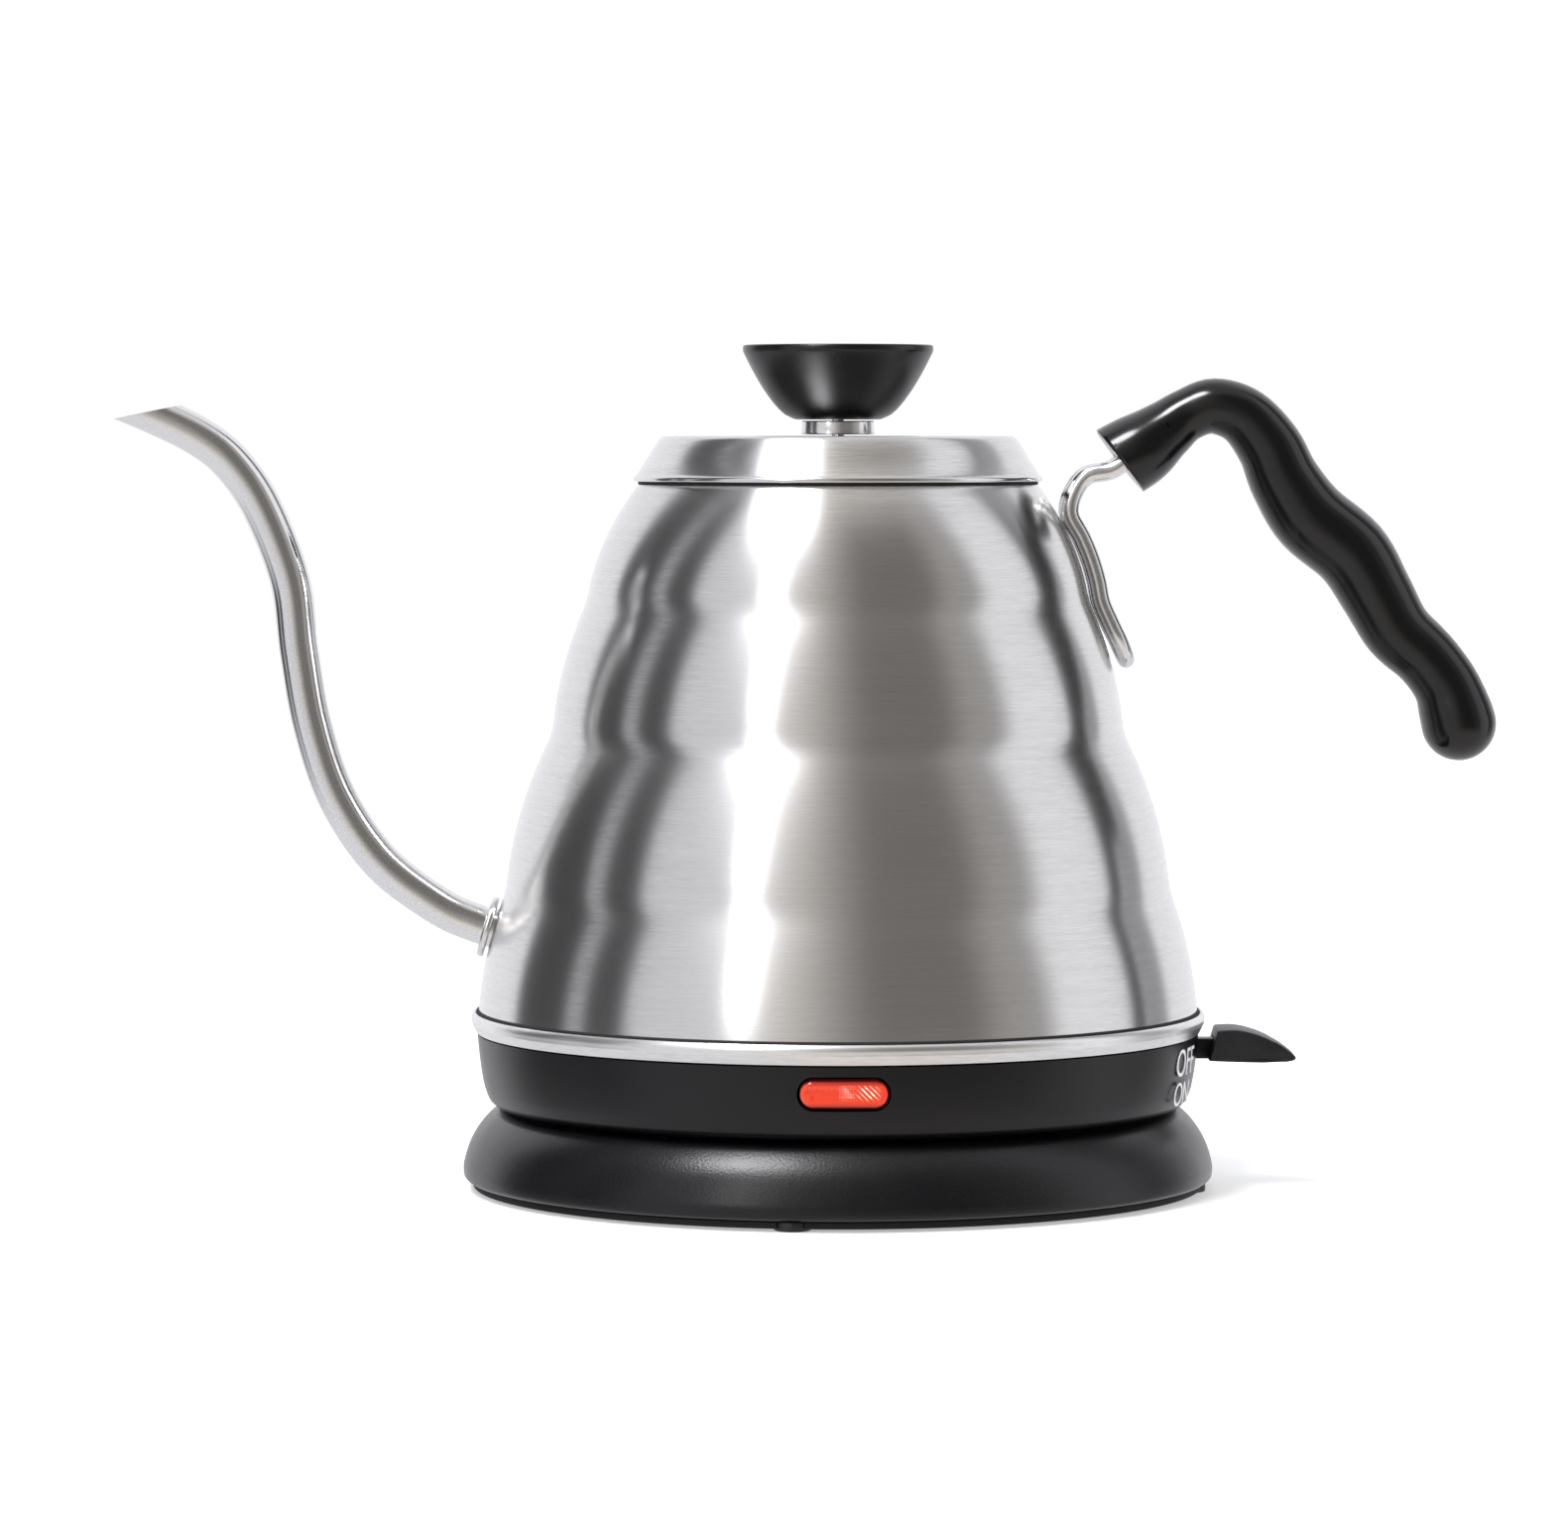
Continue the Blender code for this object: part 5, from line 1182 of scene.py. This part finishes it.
foot_low, foot_high = foot_boxes[0]
foot = lathe("foot_pad_1", [(0, foot_high.z), (FOOT_PAD_R, foot_high.z, 0.2 * MM),
                            (FOOT_PAD_R, foot_low.z, 0.5 * MM), (2.6 * MM, foot_low.z, 0.1 * MM),
                            (2.4 * MM, foot_low.z + 0.3 * MM, 0.1 * MM), (0, foot_low.z + 0.3 * MM)],
             48, closed=False)
pads = [foot]
for k in range(1, 4):
    alone(foot)
    bpy.ops.object.duplicate()
    pads.append(bpy.context.object)
    pads[-1].name = pads[-1].data.name = f"foot_pad_{k + 1}"
for k, (pad, mid) in enumerate(zip(pads, foot_mids)):
    settle(pad, Matrix.Translation((mid.x, mid.y, 0)))
    hand_over(pad, "power_base", "rubber_black", PADDLE_BLACK, f"foot_{k + 1}")

# %% [markdown]
# ## Cord gland
# At the back a ribbed rubber gland marks where the mains lead goes in. It is turned upright and
# laid down along Y. The lead itself isn't part of this kettle's model, so the bore stays open.

# %% Turn the gland
BORE_R, GROOVE_R = 3.25 * MM, 4.9 * MM
ribs = []
for k in range(3):
    y = gland_high.y - (1.2 + 2.0 * k) * MM
    ribs += [(GLAND_R, y, 0.25 * MM), (GLAND_R, y - 1.1 * MM, 0.25 * MM),
             (GROOVE_R, y - 1.1 * MM, 0.15 * MM), (GROOVE_R, y - 2.0 * MM, 0.15 * MM)]
gland = lathe("cord_grommet", [(BORE_R, gland_high.y, 0.3 * MM), (GROOVE_R, gland_high.y, 0.4 * MM),
                               (GROOVE_R, gland_high.y - 1.2 * MM, 0.15 * MM), *ribs,
                               (GROOVE_R, gland_low.y), (BORE_R, gland_low.y)], 64)
settle(gland, Matrix.Translation((0, 0, GLAND.z)) @ Matrix.Rotation(math.radians(-90), 4, "X"))
hand_over(gland, "power_base", "rubber_black", RUBBER, "cord_gland")

# %% [markdown]
# ## Socket
# In the middle of the base stands the round socket the kettle plugs into from any side. It is one
# turned moulding with a bore and a ring groove, each lined with a brass contact, and round it lies
# the loose shutter ring that turns with the kettle.

# %% Turn the socket
BRASS, tree, shader = finish("contact_brass", (0.66, 0.50, 0.22), 0.28, 1.0)
tarnish = grain(tree, (400, 400, 400), 3.0)
tree.links.new(ramp(tree, tarnish, 0.3, 0.7, (0.52, 0.36, 0.15), (0.74, 0.58, 0.28)),
               shader.inputs["Base Color"])
tree.links.new(ramp(tree, tarnish, 0.3, 0.7, 0.36, 0.22), shader.inputs["Roughness"])
hub_low, hub_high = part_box("socket_housing")
HUB_TOP, HUB_FLOOR = hub_high.z, TOP - 3.6 * MM
HUB_BORE_R, GROOVE_IN, GROOVE_OUT = 3.2 * MM, 8 * MM, 12 * MM
HUB_R, HUB_FLANGE_R, HUB_FLANGE_T = 16.5 * MM, 22 * MM, 1.5 * MM
hub = lathe("socket_hub", [
    (0, HUB_FLOOR), (HUB_BORE_R, HUB_FLOOR), (HUB_BORE_R, HUB_TOP, 0.5 * MM),
    (GROOVE_IN, HUB_TOP, 0.6 * MM), (GROOVE_IN, HUB_FLOOR), (GROOVE_OUT, HUB_FLOOR),
    (GROOVE_OUT, HUB_TOP, 0.6 * MM), (HUB_R, HUB_TOP, 0.9 * MM), (HUB_R, hub_low.z + HUB_FLANGE_T),
    (HUB_FLANGE_R, hub_low.z + HUB_FLANGE_T), (HUB_FLANGE_R, hub_low.z), (0, hub_low.z)],
    96, closed=False)
hand_over(hub, "power_base", "satin_black", INNER_BLACK, "socket_housing")


def thin_ring(node, name, slot, paint, body, wall, rounding=0.15 * MM, steps=72):
    """A turned ring in a CAD ring's place, its inner edge given by the wall."""
    low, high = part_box(node)
    out = reach_of(node)
    made = lathe(name, [(out, high.z, rounding), (out, low.z, rounding), (out - wall, low.z, rounding),
                        (out - wall, high.z, rounding)], steps)
    return hand_over(made, body, slot, paint, node)


thin_ring("socket_ring_contact", "socket_ring_spring", "brass", BRASS, "power_base", 0.7 * MM)
thin_ring("socket_centre_contact", "socket_centre_spring", "brass", BRASS, "power_base", 0.7 * MM)
thin_ring("socket_shutter", "shutter_disc", "satin_black", COLLAR_BLACK, "shutter_ring", 6 * MM,
          0.4 * MM, 96)
thin_ring("plug_ring_contact", "plug_ring_blade", "brass", BRASS, "kettle", 1.2 * MM, 0.3 * MM)

# %% [markdown]
# ## Underside of the kettle
# Lifted off its base, the kettle shows a black cover with a round well in its middle, and in the
# well the pin and the ring that meet the socket. The cover has two raised rings that stiffen it.

# %% Close the kettle's underside
cover_low, cover_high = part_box("underside_cover")
cover_r = reach_of("underside_cover")
WELL_R, WELL_WALL, WELL_DEPTH = 20 * MM, 2.5 * MM, 12 * MM
HOLE_IN_COVER = WELL_R + 0.3 * MM
cover = lathe("underside_panel", [
    (HOLE_IN_COVER, cover_high.z), (cover_r, cover_high.z), (cover_r, cover_low.z, 0.3 * MM),
    (58 * MM, cover_low.z, 0.2 * MM), (57.6 * MM, cover_low.z + 0.4 * MM, 0.2 * MM),
    (42.4 * MM, cover_low.z + 0.4 * MM, 0.2 * MM), (42 * MM, cover_low.z, 0.2 * MM),
    (HOLE_IN_COVER, cover_low.z, 0.3 * MM)], 144)
for k in range(3):
    turn = math.tau * k / 3 + math.radians(60)
    drill(cover, 1.7 * MM, 8 * MM, (28 * MM * math.cos(turn), 28 * MM * math.sin(turn), cover_low.z),
          corners=32)
hand_over(clean(cover), "kettle", "satin_black", INNER_BLACK, "underside_cover")

well_low, well_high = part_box("control_housing")
well = lathe("control_well", [
    (0, well_high.z), (WELL_R, well_high.z, 0.8 * MM), (WELL_R, well_low.z, 0.5 * MM),
    (WELL_R - WELL_WALL, well_low.z, 0.5 * MM), (WELL_R - WELL_WALL, well_low.z + WELL_DEPTH, 0.8 * MM),
    (0, well_low.z + WELL_DEPTH)], 96, closed=False)
hand_over(well, "kettle", "satin_black", INNER_BLACK, "control_housing")

pin_low, pin_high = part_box("plug_centre_pin")
PIN_R = 1.5 * MM
pin = lathe("plug_pin", [(0, pin_high.z), (PIN_R, pin_high.z), (PIN_R, pin_low.z + 1 * MM, 0.3 * MM),
                         (PIN_R / 2, pin_low.z, 0.3 * MM), (0, pin_low.z)], 32, closed=False)
hand_over(pin, "kettle", "brass", BRASS, "plug_centre_pin")

# %% [markdown]
# ## Hidden works
# The heating stack, the bimetals, the lamp and its holder, the screws and the switch's works never
# show unless the kettle is taken apart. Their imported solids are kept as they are, each with a
# proper finish of its own: cast aluminium, sheathed element, ceramic, brass and black moulding.

# %% Finish the hidden works
ALUMINIUM, tree, shader = finish("cast_aluminium", (0.66, 0.66, 0.68), 0.45, 1.0)
cast = grain(tree, (700, 700, 700), 4.0)
tree.links.new(ramp(tree, cast, 0.3, 0.7, (0.55, 0.55, 0.57), (0.74, 0.74, 0.76)),
               shader.inputs["Base Color"])
relief(tree, shader, cast, 0.00002)
CERAMIC, tree, shader = finish("ceramic_white", (0.75, 0.74, 0.70), 0.5)
glaze = grain(tree, (900, 900, 900), 3.0)
tree.links.new(ramp(tree, glaze, 0.3, 0.7, (0.66, 0.65, 0.60), (0.82, 0.81, 0.77)),
               shader.inputs["Base Color"])
HIDDEN = {
    "heat_diffuser": ALUMINIUM, "heating_element": STEEL_SMALL, "element_terminal": BRASS,
    "control_bimetal": BRASS, "steam_bimetal": BRASS, "lamp_bulb": CERAMIC, "lamp_holder": INNER_BLACK,
    "switch_pivot_pin": STEEL_SMALL, "switch_fork": INNER_BLACK, "switch_contact_block": CERAMIC,
    "socket_terminal_block": CERAMIC, "base_screw": STEEL_SMALL, "cover_screw": STEEL_SMALL,
    "knob_screw": STEEL_SMALL,
}
kept = 0
for node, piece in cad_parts.items():
    found = [paint for stem, paint in HIDDEN.items() if node.startswith(stem)]
    if found:
        piece.data.materials.clear()
        piece.data.materials.append(found[0])
        kept += 1
print(kept, "packed solids kept with a finish")
